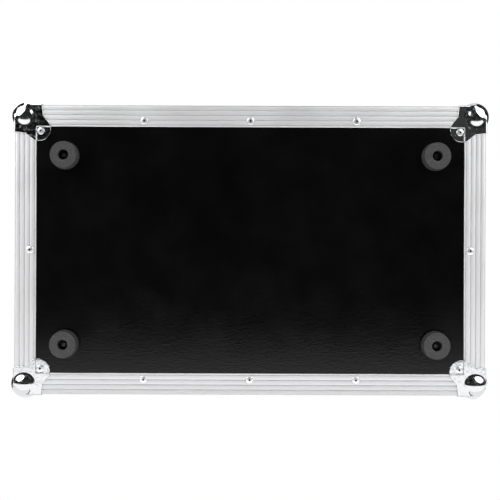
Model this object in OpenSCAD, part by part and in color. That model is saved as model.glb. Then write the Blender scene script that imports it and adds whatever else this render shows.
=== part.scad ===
// Touring case for guitar pedals: a laminated plywood tray and a hinged lid, bound in ribbed
// aluminium rails, with ball corners, butterfly latches, a sprung handle and rubber feet.
// Frame: +Z up, X along the long side, front (latches and handle) at -Y.
// Origin: the middle of the case, on the plane that the four feet stand on.

/* [Case] */
// Width over the rails
case_w = 610; // [520:1:760]
// Depth over the rails, front to back
case_d = 375; // [320:1:460]
// Height of the tray, from the underside of its rails to the seam
base_h = 105; // [100:1:160]
// Height of the lid, from the seam to the top of its rails
lid_h = 64; // [62:1:110]
// Thickness of the laminated plywood
panel_t = 7; // [5:0.5:9]
// Gap between tray and lid when closed
seam_gap = 0.4; // [0.2:0.1:1]

/* [Rails] */
// Width of each leg of the edge rail
rail_w = 28; // [26:0.5:30]
// Thickness of the rail
rail_t = 1.8; // [1.6:0.1:2.2]
// Distance from the rail's outer edge to its first groove
rib_first = 6.7; // [6:0.1:7]
// Pitch of the ribs along a leg
rib_pitch = 6.4; // [6:0.1:6.6]
// Height of the crown on each rib
rib_crown = 0.3; // [0.1:0.05:0.4]
// Depth of the groove between two ribs
groove_depth = 0.45; // [0.2:0.05:0.6]
// Width of that groove
groove_w = 0.9; // [0.6:0.1:1.2]
// Radius along the rail's outer edge
edge_r = 3; // [2.6:0.1:3.2]
// Height of the flange that shows along the seam
seam_flange = 14; // [13:0.5:16]
// Height of the tongue on the tray's seam profile
tongue_h = 4; // [3:0.5:5]
// Width of the tongue
tongue_w = 2.8; // [2:0.1:3.2]
// Play on each side of the tongue in its groove
tongue_play = 0.9; // [0.7:0.1:1.2]

/* [Ball corners] */
// Radius of the ball
ball_r = 19; // [19:0.1:19.6]
// Distance from the rails' faces to the middle of the ball
ball_inset = 13; // [12.8:0.1:13.1]
// Thickness of the pressed steel
steel_t = 1.2; // [1:0.1:1.2]
// Length of a leg along the case's edge
leg_len = 35.5; // [34:0.5:40]
// Reach of the round lug that lies on the panel
lug_reach = 46.4; // [45:0.2:47]
// Radius of the round lug
lug_r = 14.4; // [13:0.2:15]
// Distance from both edges to the lug's rivet
lug_rivet = 33.7; // [33:0.1:36]

/* [Rivets] */
// Diameter of the domed rivet head
rivet_head = 9.4; // [8:0.1:10]
// Diameter of the rivet's body
rivet_d = 4.8; // [4:0.1:5]
// Diameter of the small rivets' head, on latches, handle and hinges
small_head = 6.4; // [5.6:0.1:6.6]
// Diameter of the small rivets' body
small_d = 3.2; // [2.8:0.1:3.4]
// Distance from the rail's outer edge to its rivets
rivet_line = 20; // [18:0.5:21]
// Distance from a case corner to the outer rivets of a long rail
rivet_inset = 167.5; // [130:0.5:180]

/* [Feet] */
// Diameter of a foot where it meets the panel
foot_d = 36.5; // [34:0.5:42]
// Diameter of the face that it stands on
foot_face_d = 33.2; // [30:0.2:36]
// Height of a foot
foot_h = 15; // [12:0.5:20]
// Diameter of the well in the foot
foot_well_d = 13.2; // [12:0.2:16]
// Distance of the feet from the short sides of the case
foot_inset_x = 65; // [60:0.5:90]
// Distance of the feet from the long sides of the case
foot_inset_y = 65.5; // [60:0.5:90]

/* [Latches] */
// Distance of each latch from its end of the case
latch_inset = 115; // [100:1:125]
// Width of the latch recess
latch_w = 64; // [58:1:70]
// Depth of the recess in the tray, below the seam
latch_drop = 48; // [47:0.5:50]
// Depth of the recess in the lid, above the seam
latch_rise = 22; // [20:0.5:23]
// Depth of the recess into the wall
latch_depth = 17; // [17:0.5:19]
// Width of the flange round a recess
dish_rim = 7; // [6:0.5:8]
// Travel of the hook
hook_lift = 10; // [8:0.5:10]

/* [Handle] */
// Width of the handle's recess
handle_w = 128; // [110:1:150]
// Depth of the handle's recess
handle_depth = 15; // [14:0.5:18]
// Diameter of the handle's steel bow
bow_d = 6; // [5:0.5:7]
// Diameter of the rubber grip
grip_d = 11.6; // [10:0.2:12]

/* [Hinges] */
// Distance of each hinge from its end of the case
hinge_inset = 115; // [90:1:150]
// Length of a hinge along the case
hinge_len = 75; // [60:1:90]
// Diameter of the hinge pin
hinge_pin_d = 3; // [2.6:0.1:3.2]

/* [Lining] */
// Thickness of the loop mat on the floor of the tray
mat_t = 3; // [2:0.5:6]
// Thickness of the foam on the tray's walls
lining_t = 5; // [3:0.5:8]
// Thickness of the foam in the lid
lid_foam_t = 22; // [15:1:25]

/* [Hidden] */
$fn = 48;

// Colours as the photograph shows them
laminate = [0.04, 0.04, 0.045];
alloy = [0.80, 0.81, 0.82];
chrome = [0.88, 0.89, 0.91];
zinc = [0.66, 0.67, 0.69];
rubber = [0.09, 0.09, 0.09];
foam = [0.16, 0.16, 0.17];
loop_mat = [0.10, 0.10, 0.11];

// Sides are counted from the front, anticlockwise from above
front = 0;
right = 1;
back = 2;
left = 3;
sides = [front, right, back, left];

fit = 0.05;                                      // running clearance of a shaft
seat = 0.3;                                      // clearance of a piece that moves past another
base_z = foot_h - rail_t;                        // underside of the tray's rails
seam_z = base_z + base_h;                        // top of the tray's seam profile
lid_z = seam_z + seam_gap + lid_h;               // top of the lid's rails
web_t = 1.6;                                     // web of the seam profiles
inner_flange_t = 1.2;                            // flange of the seam profiles inside the wall
inner_flange_h = 10;                             // its height
seam_w = rail_t + panel_t + inner_flange_t;      // width of the seam profiles
groove_h = tongue_h + 1;                         // depth of the groove in the lid's profile
wall_in = rail_t + panel_t;                      // from the rails' face to the inside of a wall
rail_end = ball_inset - 3.4;                     // rails stop inside the hollow ball
base_edge = base_h - web_t;                      // upper edge of the tray's walls
lid_edge = lid_h - groove_h - web_t;             // the same edge in the lid
rivet_x = case_w / 2 - rivet_inset;              // outer rivets of the long rails
foot_x = case_w / 2 - foot_inset_x;
foot_y = case_d / 2 - foot_inset_y;
latch_x = case_w / 2 - latch_inset;
hinge_x = case_w / 2 - hinge_inset;
handle_margin = 1;                               // between the handle's flange and the rails
handle_h = base_h - rail_w - seam_flange - 2 * (dish_rim + handle_margin);
cut = 6 * wall_in;                               // length of a cutter that goes right through

// ---------- placing ----------

function side_length(k) = k % 2 == 0 ? case_w : case_d;
function side_distance(k) = k % 2 == 0 ? case_d / 2 : case_w / 2;

// Tray frame: z = 0 at the underside of its rails
module in_base() {
    translate([0, 0, base_z]) children();
}

// Lid frame: z = 0 at the top of its rails, z growing down towards the seam
module in_lid() {
    translate([0, 0, lid_z]) mirror([0, 0, 1]) children();
}

// x along the side, y inwards from the rails' face
module on_side(k) {
    rotate([0, 0, 90 * k]) translate([0, -side_distance(k), 0]) children();
}

// Extrudes a profile drawn as [inwards, up] along x, centred
module along_side(length) {
    translate([-length / 2, 0, 0]) rotate([90, 0, 90]) linear_extrude(length) children();
}

// Extrudes a shape drawn as [along, up] inwards from depth n0 to depth n1
module into_side(n0, n1) {
    translate([0, n1, 0]) rotate([90, 0, 0]) linear_extrude(n1 - n0) children();
}

// Puts children at each of the four corners, their axes pointing into the case
module at_corner(i) {
    sx = (i == 0 || i == 3) ? -1 : 1;
    sy = i < 2 ? -1 : 1;
    translate([sx * case_w / 2, sy * case_d / 2, 0])
        mirror([sx > 0 ? 1 : 0, 0, 0]) mirror([0, sy > 0 ? 1 : 0, 0]) children();
}

module rounded_rect(w, h, r) {
    union() {
        square([w - 2 * r, h], center = true);
        square([w, h - 2 * r], center = true);
        for (x = [-1, 1], y = [-1, 1]) translate([x * (w / 2 - r), y * (h / 2 - r)]) circle(r);
    }
}

// ---------- rails ----------

// Outer line of one leg, as [along the leg, depth]: crowned ribs between V grooves, then a bead
function rib(s0, s1) =
    [for (f = [0:0.25:1]) [s0 + (s1 - s0) * f, rib_crown * pow(2 * f - 1, 2)]];
function leg_line(grooves, width) = concat(
    [for (i = [0:len(grooves) - 1])
        let (s0 = i == 0 ? edge_r : grooves[i - 1] + groove_w / 2,
             s1 = grooves[i] - groove_w / 2)
        each concat(i == 0 ? [[s0, 0], [s1 - 1, 0.04], [s1, rib_crown]] : rib(s0, s1),
                    [[grooves[i], rib_crown + groove_depth]])],
    [[width - 1.7, 0.12], [width - 0.7, 0], [width - 0.15, 0.3], [width, 0.9]]);
function flipped(points) = [for (i = [len(points) - 1:-1:0]) [points[i][1], points[i][0]]];
function edge_arc() =
    [for (a = [15:15:75]) [edge_r * (1 - cos(a)), edge_r * (1 - sin(a))]];

rail_grooves = [for (i = [0:3]) rib_first + i * rib_pitch];
seam_grooves = [rib_first - 1, seam_flange - 2.2];

module rail_profile() {
    line = leg_line(rail_grooves, rail_w);
    polygon(concat(line, [[rail_w, rail_t], [rail_t, rail_t], [rail_t, rail_w]],
                   flipped(line), edge_arc()));
}

// One edge rail in the frame of its half, cut back and mitred at both ends
module edge_rail(k) {
    length = side_length(k);
    on_side(k) difference() {
        intersection() {
            along_side(length - 2 * rail_end) rail_profile();
            linear_extrude(rail_w + 1)
                polygon([[-length / 2, 0], [length / 2, 0],
                         [length / 2 - rail_w - 1, rail_w + 1], [-length / 2 + rail_w + 1, rail_w + 1]]);
        }
        at_rail_sites(k) rivet_hole();
    }
}

// Corner posts between the edge rail and the seam flange
module corner_posts(height) {
    for (i = [0:3])
        at_corner(i) translate([0, 0, rail_w]) linear_extrude(height - rail_w - seam_flange)
            rail_profile();
}

// Seam profiles, drawn as [inwards, from the seam into their half]
function flange_line(start) =
    [for (p = leg_line(seam_grooves, seam_flange)) if (p[0] > start) [p[1], p[0]]];

module tongue_profile() {
    tongue_n = seam_w / 2;
    union() {
        polygon(concat([[0.8, 0], [0.2, 0.3], [0, 1]], flange_line(edge_r - 0.5),
                       [[rail_t, seam_flange], [rail_t, web_t], [wall_in, web_t],
                        [wall_in, inner_flange_h], [seam_w, inner_flange_h], [seam_w, 0]]));
        polygon([[tongue_n - tongue_w / 2, 0.2], [tongue_n - tongue_w / 2, 0.8 - tongue_h],
                 [tongue_n - tongue_w / 2 + 0.8, -tongue_h], [tongue_n + tongue_w / 2 - 0.8, -tongue_h],
                 [tongue_n + tongue_w / 2, 0.8 - tongue_h], [tongue_n + tongue_w / 2, 0.2]]);
    }
}

module groove_profile() {
    groove_n = seam_w / 2;
    half = tongue_w / 2 + tongue_play;
    difference() {
        polygon(concat([[0.8, 0], [0.2, 0.3], [0, 1]], flange_line(edge_r - 0.5),
                       [[rail_t, seam_flange], [rail_t, groove_h + web_t],
                        [wall_in, groove_h + web_t], [wall_in, inner_flange_h + 2],
                        [seam_w, inner_flange_h + 2], [seam_w, 0]]));
        translate([groove_n - half, -1]) square([2 * half, groove_h + 1]);
    }
}

// A mitred frame of four seam profiles, cut away at the front where the latches sit
module seam_profiles(height) {
    for (k = sides) on_side(k) difference() {
        intersection() {
            translate([0, 0, height]) mirror([0, 0, 1]) along_side(side_length(k)) children();
            translate([0, 0, height - seam_flange - 1]) linear_extrude(seam_flange + tongue_h + 2)
                polygon([[-side_length(k) / 2, 0], [side_length(k) / 2, 0],
                         [side_length(k) / 2 - seam_w, seam_w], [-side_length(k) / 2 + seam_w, seam_w]]);
        }
        corner_trim(k, height);
        if (k == front) for (s = [-1, 1])
            translate([s * latch_x, 0, height])
                cube([latch_w + 2 * dish_rim + seat, 3 * seam_w, 3 * seam_flange], center = true);
    }
}

// Rounds the frame's vertical corners to the rails' edge radius
module corner_trim(k, height) {
    for (s = [-1, 1]) translate([s * side_length(k) / 2, 0, height - 2 * seam_flange])
        mirror([s > 0 ? 1 : 0, 0, 0]) linear_extrude(3 * seam_flange) difference() {
            translate([-1, -1]) square(edge_r + 1);
            translate([edge_r, edge_r]) circle(edge_r);
        }
}

// ---------- panels ----------

// Bottom of the tray and top of the lid, its corners clipped to clear the ball corners
module flat_panel() {
    clip = 5;
    w = case_w - 2 * rail_t;
    d = case_d - 2 * rail_t;
    difference() {
        translate([0, 0, rail_t]) linear_extrude(panel_t)
            polygon([[-w / 2 + clip, -d / 2], [w / 2 - clip, -d / 2], [w / 2, -d / 2 + clip],
                     [w / 2, d / 2 - clip], [w / 2 - clip, d / 2], [-w / 2 + clip, d / 2],
                     [-w / 2, d / 2 - clip], [-w / 2, -d / 2 + clip]]);
        for (k = sides) on_side(k) at_rail_sites(k) rivet_hole();
        for (i = [0:3]) at_corner(i) at_lugs() rivet_hole();
    }
}

// A wall of a half, standing on its flat panel; front and back run past the side walls
module wall_panel(k, edge) {
    length = side_length(k) - 2 * (k % 2 == 0 ? rail_t : wall_in);
    on_side(k) difference() {
        translate([-length / 2, rail_t, wall_in]) cube([length, panel_t, edge - wall_in]);
        at_rail_sites(k) rivet_hole();
        at_wall_lugs(k) rivet_hole();
    }
}

// ---------- rivets ----------

// Domed rivet with its body along +z and its head below z = 0
module rivet(grip, head_d = rivet_head, body_d = rivet_d) {
    r = head_d / 2;
    rotate_extrude() difference() {
        polygon([[0, grip], [body_d / 2, grip], [body_d / 2, 0], [r, 0], [r, -0.35],
                 [r * 0.93, -0.75], [r * 0.78, -1.15], [r * 0.55, -1.45], [r * 0.3, -1.55], [0, -1.55]]);
        translate([0, -3]) square([body_d / 4, 2.6]);
    }
}

module rivet_hole(body_d = rivet_d) {
    cylinder(d = body_d + 2 * fit, h = cut, center = true);
}

// Rivets stand on the long rails in threes and on the short rails alone
function rail_sites(k) = k % 2 == 0 ? [-rivet_x, 0, rivet_x] : [0];

// Both legs of an edge rail, in the side's frame, +z into the wall
module at_rail_sites(k) {
    for (x = rail_sites(k)) {
        translate([x, 0, rivet_line]) rotate([-90, 0, 0]) children();
        translate([x, rivet_line, 0]) children();
    }
}

// The lug on the flat panel, in the corner's frame
module at_lugs() {
    translate([lug_rivet, lug_rivet, rail_t - steel_t]) children();
}

// The two lugs on a wall, in the side's frame
module at_wall_lugs(k) {
    for (s = [-1, 1])
        translate([s * (side_length(k) / 2 - lug_rivet), rail_t - steel_t, lug_rivet])
            rotate([-90, 0, 0]) children();
}

// The rivets of one half: rails, and three to a corner
module half_rivets() {
    for (k = sides) on_side(k) {
        at_rail_sites(k) rivet(wall_in);
        at_wall_lugs(k) rivet(wall_in - rail_t + steel_t);
    }
    for (i = [0:3]) at_corner(i) at_lugs() rivet(wall_in - rail_t + steel_t);
}

// ---------- ball corners ----------

lug_c = lug_reach - lug_r;                       // middle of the round lug
joggle = rail_w + 0.2;                           // where the plate steps down past the rail
envelope = lug_reach + 10;

// Quarter of the plane with its corner rounded, from -out outwards
module rounded_quarter(r, out) {
    translate([r - out, -out]) square(envelope);
    translate([-out, r - out]) square(envelope);
    translate([r - out, r - out]) circle(r);
}

// The space that the rails fill at a corner, grown by out
module corner_space(r, out) {
    intersection() {
        translate([0, 0, -out]) linear_extrude(envelope) rounded_quarter(r, out);
        translate([-out, 0, 0]) rotate([90, 0, 90]) linear_extrude(envelope) rounded_quarter(r, out);
        translate([0, envelope - out, 0]) rotate([90, 0, 0]) linear_extrude(envelope)
            rounded_quarter(r, out);
    }
}

// Outline of the plate on one face: two legs and the round lug between them
module plate_outline() {
    polygon([[-steel_t, -steel_t], [leg_len, -steel_t], [leg_len, 0], [leg_len + 1.7, 14.2],
             [lug_reach, lug_c - 6.1], [lug_reach, lug_c], [lug_c, lug_c], [lug_c, lug_reach],
             [lug_c - 6.1, lug_reach], [14.2, leg_len + 1.7], [0, leg_len], [-steel_t, leg_len]]);
    translate([lug_c, lug_c]) circle(lug_r);
}

// Plate on the face z = 0, with its lug stepped down onto the panel
module corner_plate() {
    difference() {
        intersection() {
            difference() {
                corner_space(edge_r + steel_t, steel_t);
                corner_space(edge_r, 0);
            }
            translate([0, 0, -steel_t]) linear_extrude(edge_r + steel_t) plate_outline();
        }
        translate([joggle + steel_t, joggle + steel_t, -steel_t - 1]) cube(envelope);
        at_lugs() rivet_hole();
    }
    difference() {
        intersection() {
            translate([0, 0, -steel_t]) linear_extrude(rail_t + steel_t) plate_outline();
            translate([joggle, joggle, -steel_t]) cube(envelope);
        }
        translate([joggle + steel_t, joggle + steel_t, -2 * steel_t])
            cube([envelope, envelope, rail_t + steel_t]);
        at_lugs() rivet_hole();
    }
}

// Pressed corner: a hollow ball blended into three plates
module ball_corner() {
    difference() {
        union() {
            difference() {
                union() for (t = [0:2]) rotate(t * 120, [1, 1, 1]) corner_plate();
                cube(2 * ball_inset, center = true);
            }
            translate(ball_inset * [1, 1, 1]) sphere(ball_r, $fn = 64);
        }
        translate(ball_inset * [1, 1, 1]) sphere(ball_r - steel_t, $fn = 64);
        difference() {
            corner_space(edge_r, 0);
            translate(-ball_inset * [1, 1, 1]) cube(2 * ball_inset);
        }
    }
}

// ---------- feet ----------

foot_floor = 4;                                  // rubber left under the washer
washer_t = 1.2;
washer_d = foot_well_d - 0.8;
screw_d = 4.5;
screw_head_d = 8.6;
screw_bite = 6;                                  // how far the screw runs into the plywood

module at_foot(i) {
    sx = (i == 0 || i == 3) ? -1 : 1;
    sy = i < 2 ? -1 : 1;
    translate([sx * foot_x, sy * foot_y, 0]) children();
}

module rubber_foot() {
    r = foot_d / 2;
    f = foot_face_d / 2;
    rotate_extrude() difference() {
        polygon([[screw_d / 2 + fit, foot_h], [r, foot_h], [r, foot_h - 1], [f + 1.2, 2.4],
                 [f + 0.7, 1.1], [f - 0.2, 0.3], [f - 1.4, 0], [screw_d / 2 + fit, 0]]);
        translate([0, -1]) square([foot_well_d / 2, foot_h - foot_floor + 1]);
        polygon([[0, -1], [foot_well_d / 2 + 1, -1], [foot_well_d / 2 + 1, 0], [foot_well_d / 2, 1],
                 [0, 1]]);
    }
}

module foot_washer() {
    translate([0, 0, foot_h - foot_floor - washer_t]) difference() {
        cylinder(d = washer_d, h = washer_t);
        translate([0, 0, -1]) cylinder(d = screw_d + 2 * fit, h = washer_t + 2);
    }
}

module foot_screw() {
    seat_z = foot_h - foot_floor - washer_t;
    r = screw_head_d / 2;
    difference() {
        rotate_extrude() polygon([[0, foot_h + screw_bite], [0.8, foot_h + screw_bite],
            [screw_d / 2, foot_h + screw_bite - 2], [screw_d / 2, seat_z], [r, seat_z], [r, seat_z - 1],
            [r * 0.85, seat_z - 2], [r * 0.5, seat_z - 2.7], [0, seat_z - 2.9]]);
        for (a = [0, 90]) rotate(a) translate([-2.4, -0.5, seat_z - 4]) cube([4.8, 1, 2.6]);
    }
}

// ---------- latches ----------

// Levels inside the latch, counted inwards from the rails' face
wing_t = 2;                                      // wing, folded flat
wing_axis = wing_t / 2;
head_n = wing_t + 0.6;                           // face disc of the rotor
head_t = 1.3;
bridge_n = head_n + head_t + 0.2;                // bridge that carries the rotor
bridge_t = 1.5;
bridge_half = 17;                                // half height of the bridge
crank_n = bridge_n + bridge_t + 0.2;             // disc behind the bridge
crank_t = 1.6;
hook_n = crank_n + crank_t + 0.4;                // hook plate when released
hook_t = 2;
nose_l = 3.1;                                    // reach of the hook's nose
hook_in = 3;                                     // how far it moves inwards as it latches
lip_n = hook_n + hook_t + nose_l + seat;         // edge of the keeper's lip
lip_z = 5;                                       // top of the lip above the lid's edge
lip_t = 2;
lip_half = 11;                                   // half width of the lip
rotor_z = -26;                                   // middle of the rotor, from the seam
throw = hook_lift / 2;                           // eccentricity of the crank pin
crank_pin_r = 2;
slot_play = 1.2;                                 // play of the pin in the hook's slot
journal_r = 5;
rotor_r = 10;
wing_r = 19;
wing_half = 13;                                  // half width of the wing
block_x = 5;                                     // half width of the block that holds the wing
block_z = 3;
wing_pin_r = 1.1;
nose_z = seam_gap + lip_z + 0.2 + hook_lift;     // underside of the nose when released
nose_t = 2.5;
hook_half = 17;
neck_half = 9;

// Seam frame of the tray's front: z = 0 at the seam, children at one latch
module at_latch(s) {
    in_base() on_side(front) translate([s * latch_x, 0, base_h]) children();
}

// The same seen from the lid, z growing towards the seam
module at_keeper(s) {
    in_lid() on_side(front) translate([s * latch_x, 0, lid_h]) children();
}

// Pressed recess, open at the seam, with a flange on its other three sides
module latch_recess(drop) {
    difference() {
        union() {
            translate([-latch_w / 2 - dish_rim, rail_t - steel_t, -drop - dish_rim])
                cube([latch_w + 2 * dish_rim, steel_t, drop + dish_rim]);
            translate([-latch_w / 2, rail_t - steel_t, -drop])
                cube([latch_w, latch_depth - rail_t + 2 * steel_t, drop]);
        }
        translate([-latch_w / 2 + steel_t, -1, -drop + steel_t])
            cube([latch_w - 2 * steel_t, latch_depth + 1, drop]);
        at_recess_rivets(drop) rivet_hole(small_d);
    }
}

module recess_cut(drop) {
    translate([-latch_w / 2 - seat, -1, -drop - seat])
        cube([latch_w + 2 * seat, cut, drop + cut]);
    at_recess_rivets(drop) rivet_hole(small_d);
}

module at_recess_rivets(drop) {
    for (x = [-1, 1], z = [-9, -drop + 6])
        translate([x * (latch_w + dish_rim) / 2, rail_t - steel_t, z]) rotate([-90, 0, 0]) children();
}

module recess_rivets(drop) {
    at_recess_rivets(drop) rivet(wall_in - rail_t + steel_t, small_head, small_d);
}

// Bridge over the hook, standing on the back of the recess
module latch_bridge() {
    half = hook_half + 1.5;
    translate([0, 0, rotor_z]) difference() {
        translate([-half - bridge_t, bridge_n, -bridge_half])
            cube([2 * (half + bridge_t), latch_depth - bridge_n, 2 * bridge_half]);
        translate([-half, bridge_n + bridge_t, -2 * bridge_half])
            cube([2 * half, latch_depth, 4 * bridge_half]);
        rotate([-90, 0, 0]) cylinder(r = journal_r + fit, h = latch_depth);
    }
}

// Hook plate, drawn released: up, and out from over the keeper's lip
module latch_hook() {
    pin_z = rotor_z + throw;
    slot_h = 2 * (crank_pin_r + slot_play);
    difference() {
        union() {
            into_side(hook_n, hook_n + hook_t) polygon([[-hook_half, pin_z - 7.2], [hook_half, pin_z - 7.2],
                [hook_half, pin_z + 7], [neck_half, pin_z + 11], [neck_half, nose_z + nose_t],
                [-neck_half, nose_z + nose_t], [-neck_half, pin_z + 11], [-hook_half, pin_z + 7]]);
            translate([-neck_half, hook_n, nose_z]) cube([2 * neck_half, hook_t + nose_l, nose_t]);
        }
        translate([-throw - crank_pin_r - 0.3, hook_n - 1, pin_z - slot_h / 2])
            cube([2 * (throw + crank_pin_r + 0.3), hook_t + 2, slot_h]);
    }
}

// Rotor: face disc, journal and crank, with the block that the wing folds on
module latch_rotor() {
    translate([0, 0, rotor_z]) difference() {
        union() {
            translate([0, head_n, 0]) rotate([-90, 0, 0]) cylinder(r = rotor_r, h = head_t);
            translate([0, head_n, 0]) rotate([-90, 0, 0]) cylinder(r = journal_r, h = crank_n - head_n + 1);
            translate([0, crank_n, 0]) rotate([-90, 0, 0]) cylinder(r = rotor_r, h = crank_t);
            translate([0, crank_n, throw]) rotate([-90, 0, 0])
                cylinder(r = crank_pin_r, h = crank_t + hook_t + hook_in + 1.4);
            translate([-block_x, 0, -block_z]) cube([2 * block_x, head_n + 0.5, 2 * block_z]);
        }
        translate([0, wing_axis, 0]) rotate([0, 90, 0])
            cylinder(r = wing_pin_r + fit, h = 3 * block_x, center = true);
    }
}

// Folding wing, drawn flat
module latch_wing() {
    translate([0, 0, rotor_z]) {
        into_side(0, wing_t) difference() {
            intersection() {
                circle(wing_r);
                translate([-wing_half, -wing_r]) square([2 * wing_half, wing_r + wing_axis]);
            }
            translate([-block_x - seat, -block_z - 1]) square([2 * (block_x + seat), 2 * block_z]);
            translate([0, -11.5]) circle(4.5);
        }
        translate([0, wing_axis, 0]) rotate([0, 90, 0])
            cylinder(r = wing_pin_r, h = 2 * block_x + 4, center = true);
    }
}

// Recess in the lid with the lip that the hook pulls on
module keeper_dish() {
    latch_recess(latch_rise);
    translate([-lip_half, lip_n, -lip_z])
        cube([2 * lip_half, latch_depth - lip_n + steel_t / 2, lip_t]);
}

// ---------- handle ----------

handle_z = (rail_w + base_h - seam_flange) / 2;  // middle of the recess
pivot_z = handle_z + handle_h / 2 - 8.5;
pivot_n = handle_depth / 2;
bow_inset = 18;                                  // from the recess's end to the bow's legs
bow_x = handle_w / 2 - bow_inset;
finger_gap = 8.7;                                // left below the grip for a fingertip
bow_len = pivot_z - (handle_z - handle_h / 2 + finger_gap + grip_d / 2);
lug_t = 4;                                       // thickness of the pivot lugs

module at_handle() {
    in_base() on_side(front) children();
}

module at_handle_rivets() {
    for (x = [-1, 1], z = [-1, 1])
        translate([x * (handle_w + dish_rim) / 2, rail_t - steel_t, handle_z + z * (handle_h / 2 - 8)])
            rotate([-90, 0, 0]) children();
}

module handle_cut() {
    into_side(-1, 3 * wall_in) translate([0, handle_z])
        rounded_rect(handle_w + 2 * seat, handle_h + 2 * seat, 8 + seat);
    at_handle_rivets() rivet_hole(small_d);
}

module handle_dish() {
    difference() {
        union() {
            into_side(rail_t - steel_t, rail_t) translate([0, handle_z])
                rounded_rect(handle_w + 2 * dish_rim, handle_h + 2 * dish_rim, 8 + dish_rim);
            into_side(rail_t - steel_t, handle_depth + steel_t) translate([0, handle_z])
                rounded_rect(handle_w, handle_h, 8);
        }
        into_side(-1, handle_depth) translate([0, handle_z])
            rounded_rect(handle_w - 2 * steel_t, handle_h - 2 * steel_t, 8 - steel_t);
        at_handle_rivets() rivet_hole(small_d);
    }
    for (s = [-1, 1]) difference() {
        translate([s * (bow_x + bow_d / 2 + seat + lug_t / 2) - lug_t / 2, 2.5, pivot_z - 6])
            cube([lug_t, handle_depth - 2.2, 12]);
        translate([0, pivot_n, pivot_z]) rotate([0, 90, 0])
            cylinder(d = bow_d + 2 * fit, h = handle_w, center = true);
    }
}

module handle_bow() {
    translate([0, pivot_n, pivot_z]) {
        for (s = [-1, 1]) {
            translate([s * bow_x, 0, -bow_len]) cylinder(d = bow_d, h = bow_len);
            for (z = [-bow_len, 0]) translate([s * bow_x, 0, z]) sphere(d = bow_d);
            translate([s * bow_x, 0, 0]) rotate([0, s * 90, 0])
                cylinder(d = bow_d, h = bow_d / 2 + seat + lug_t + 1);
        }
        translate([0, 0, -bow_len]) rotate([0, 90, 0]) cylinder(d = bow_d, h = 2 * bow_x, center = true);
    }
}

module handle_grip() {
    translate([0, pivot_n, pivot_z - bow_len]) rotate([0, 90, 0]) difference() {
        cylinder(d = grip_d, h = 2 * (bow_x - 7), center = true);
        cylinder(d = bow_d + 2 * fit, h = handle_w, center = true);
    }
}

// ---------- hinges ----------

leaf_t = 1.5;
hinge_axis = -3.2;                               // pin, outside the rails' face
knuckle_r = hinge_pin_d / 2 + fit + 1.2;
knuckles = 5;
knuckle_len = hinge_len / knuckles;
leaf_h = seam_flange + 16;

module at_hinge_rivets() {
    for (x = [-1, 0, 1])
        translate([x * (hinge_len / 2 - 10), rail_t - leaf_t, -seam_flange - 9])
            rotate([-90, 0, 0]) children();
}

module hinge_rivets() {
    at_hinge_rivets() rivet(wall_in - rail_t + leaf_t, small_head, small_d);
}

// One leaf below the seam; odd says which knuckles it carries
module hinge_leaf(odd) {
    mid = seam_gap / 2;
    difference() {
        union() {
            translate([-hinge_len / 2, -leaf_t, -seam_flange - 0.3 - leaf_t])
                cube([hinge_len, leaf_t, seam_flange + 0.3 + leaf_t]);
            translate([-hinge_len / 2, -leaf_t, -seam_flange - 0.3 - leaf_t])
                cube([hinge_len, leaf_t + rail_t, leaf_t]);
            translate([-hinge_len / 2, rail_t - leaf_t, -leaf_h])
                cube([hinge_len, leaf_t, leaf_h - seam_flange - 0.3]);
        }
        for (i = [0:knuckles - 1]) if (i % 2 != odd)
            translate([-hinge_len / 2 + i * knuckle_len - fit, hinge_axis, mid]) rotate([0, 90, 0])
                cylinder(r = knuckle_r + seat, h = knuckle_len + 2 * fit);
        translate([0, hinge_axis, mid]) rotate([0, 90, 0])
            cylinder(d = hinge_pin_d + 2 * fit, h = 2 * hinge_len, center = true);
        at_hinge_rivets() rivet_hole(small_d);
    }
    for (i = [0:knuckles - 1]) if (i % 2 == odd)
        translate([-hinge_len / 2 + i * knuckle_len + fit, hinge_axis, mid]) rotate([0, 90, 0])
            difference() {
                cylinder(r = knuckle_r, h = knuckle_len - 2 * fit);
                translate([0, 0, -1]) cylinder(d = hinge_pin_d + 2 * fit, h = knuckle_len + 2);
            }
}

module hinge_pin() {
    translate([0, hinge_axis, seam_gap / 2]) rotate([0, 90, 0])
        cylinder(d = hinge_pin_d, h = hinge_len - 1, center = true);
}

module at_base_hinge(s) {
    in_base() on_side(back) translate([s * hinge_x, 0, base_h]) children();
}

module at_lid_hinge(s) {
    in_lid() on_side(back) translate([s * hinge_x, 0, lid_h]) children();
}

// ---------- lining ----------

module floor_mat() {
    gap = wall_in + lining_t + 1;
    translate([0, 0, wall_in]) linear_extrude(mat_t)
        rounded_rect(case_w - 2 * gap, case_d - 2 * gap, 6);
}

module base_lining() {
    difference() {
        translate([0, 0, wall_in]) linear_extrude(base_h - inner_flange_h - 1 - wall_in) difference() {
            square([case_w - 2 * wall_in, case_d - 2 * wall_in], center = true);
            square([case_w - 2 * (wall_in + lining_t), case_d - 2 * (wall_in + lining_t)], center = true);
        }
        on_side(front) {
            for (s = [-1, 1]) translate([s * latch_x, 0, base_h])
                translate([-latch_w / 2 - 2, 0, -latch_drop - 2]) cube([latch_w + 4, cut, latch_drop + cut]);
            translate([0, 0, handle_z]) cube([handle_w + 4, 6 * wall_in, handle_h + 4], center = true);
        }
    }
}

module lid_foam() {
    translate([0, 0, wall_in]) linear_extrude(lid_foam_t)
        rounded_rect(case_w - 2 * wall_in - 1, case_d - 2 * wall_in - 1, 4);
}

// ---------- sub-parts ----------

module base_wall(k) {
    color(laminate) in_base() difference() {
        wall_panel(k, base_edge);
        if (k == front) on_side(front) {
            for (s = [-1, 1]) translate([s * latch_x, 0, base_h]) recess_cut(latch_drop);
            handle_cut();
        }
        if (k == back) on_side(back) for (s = [-1, 1])
            translate([s * hinge_x, 0, base_h]) at_hinge_rivets() rivet_hole(small_d);
    }
}

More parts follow.
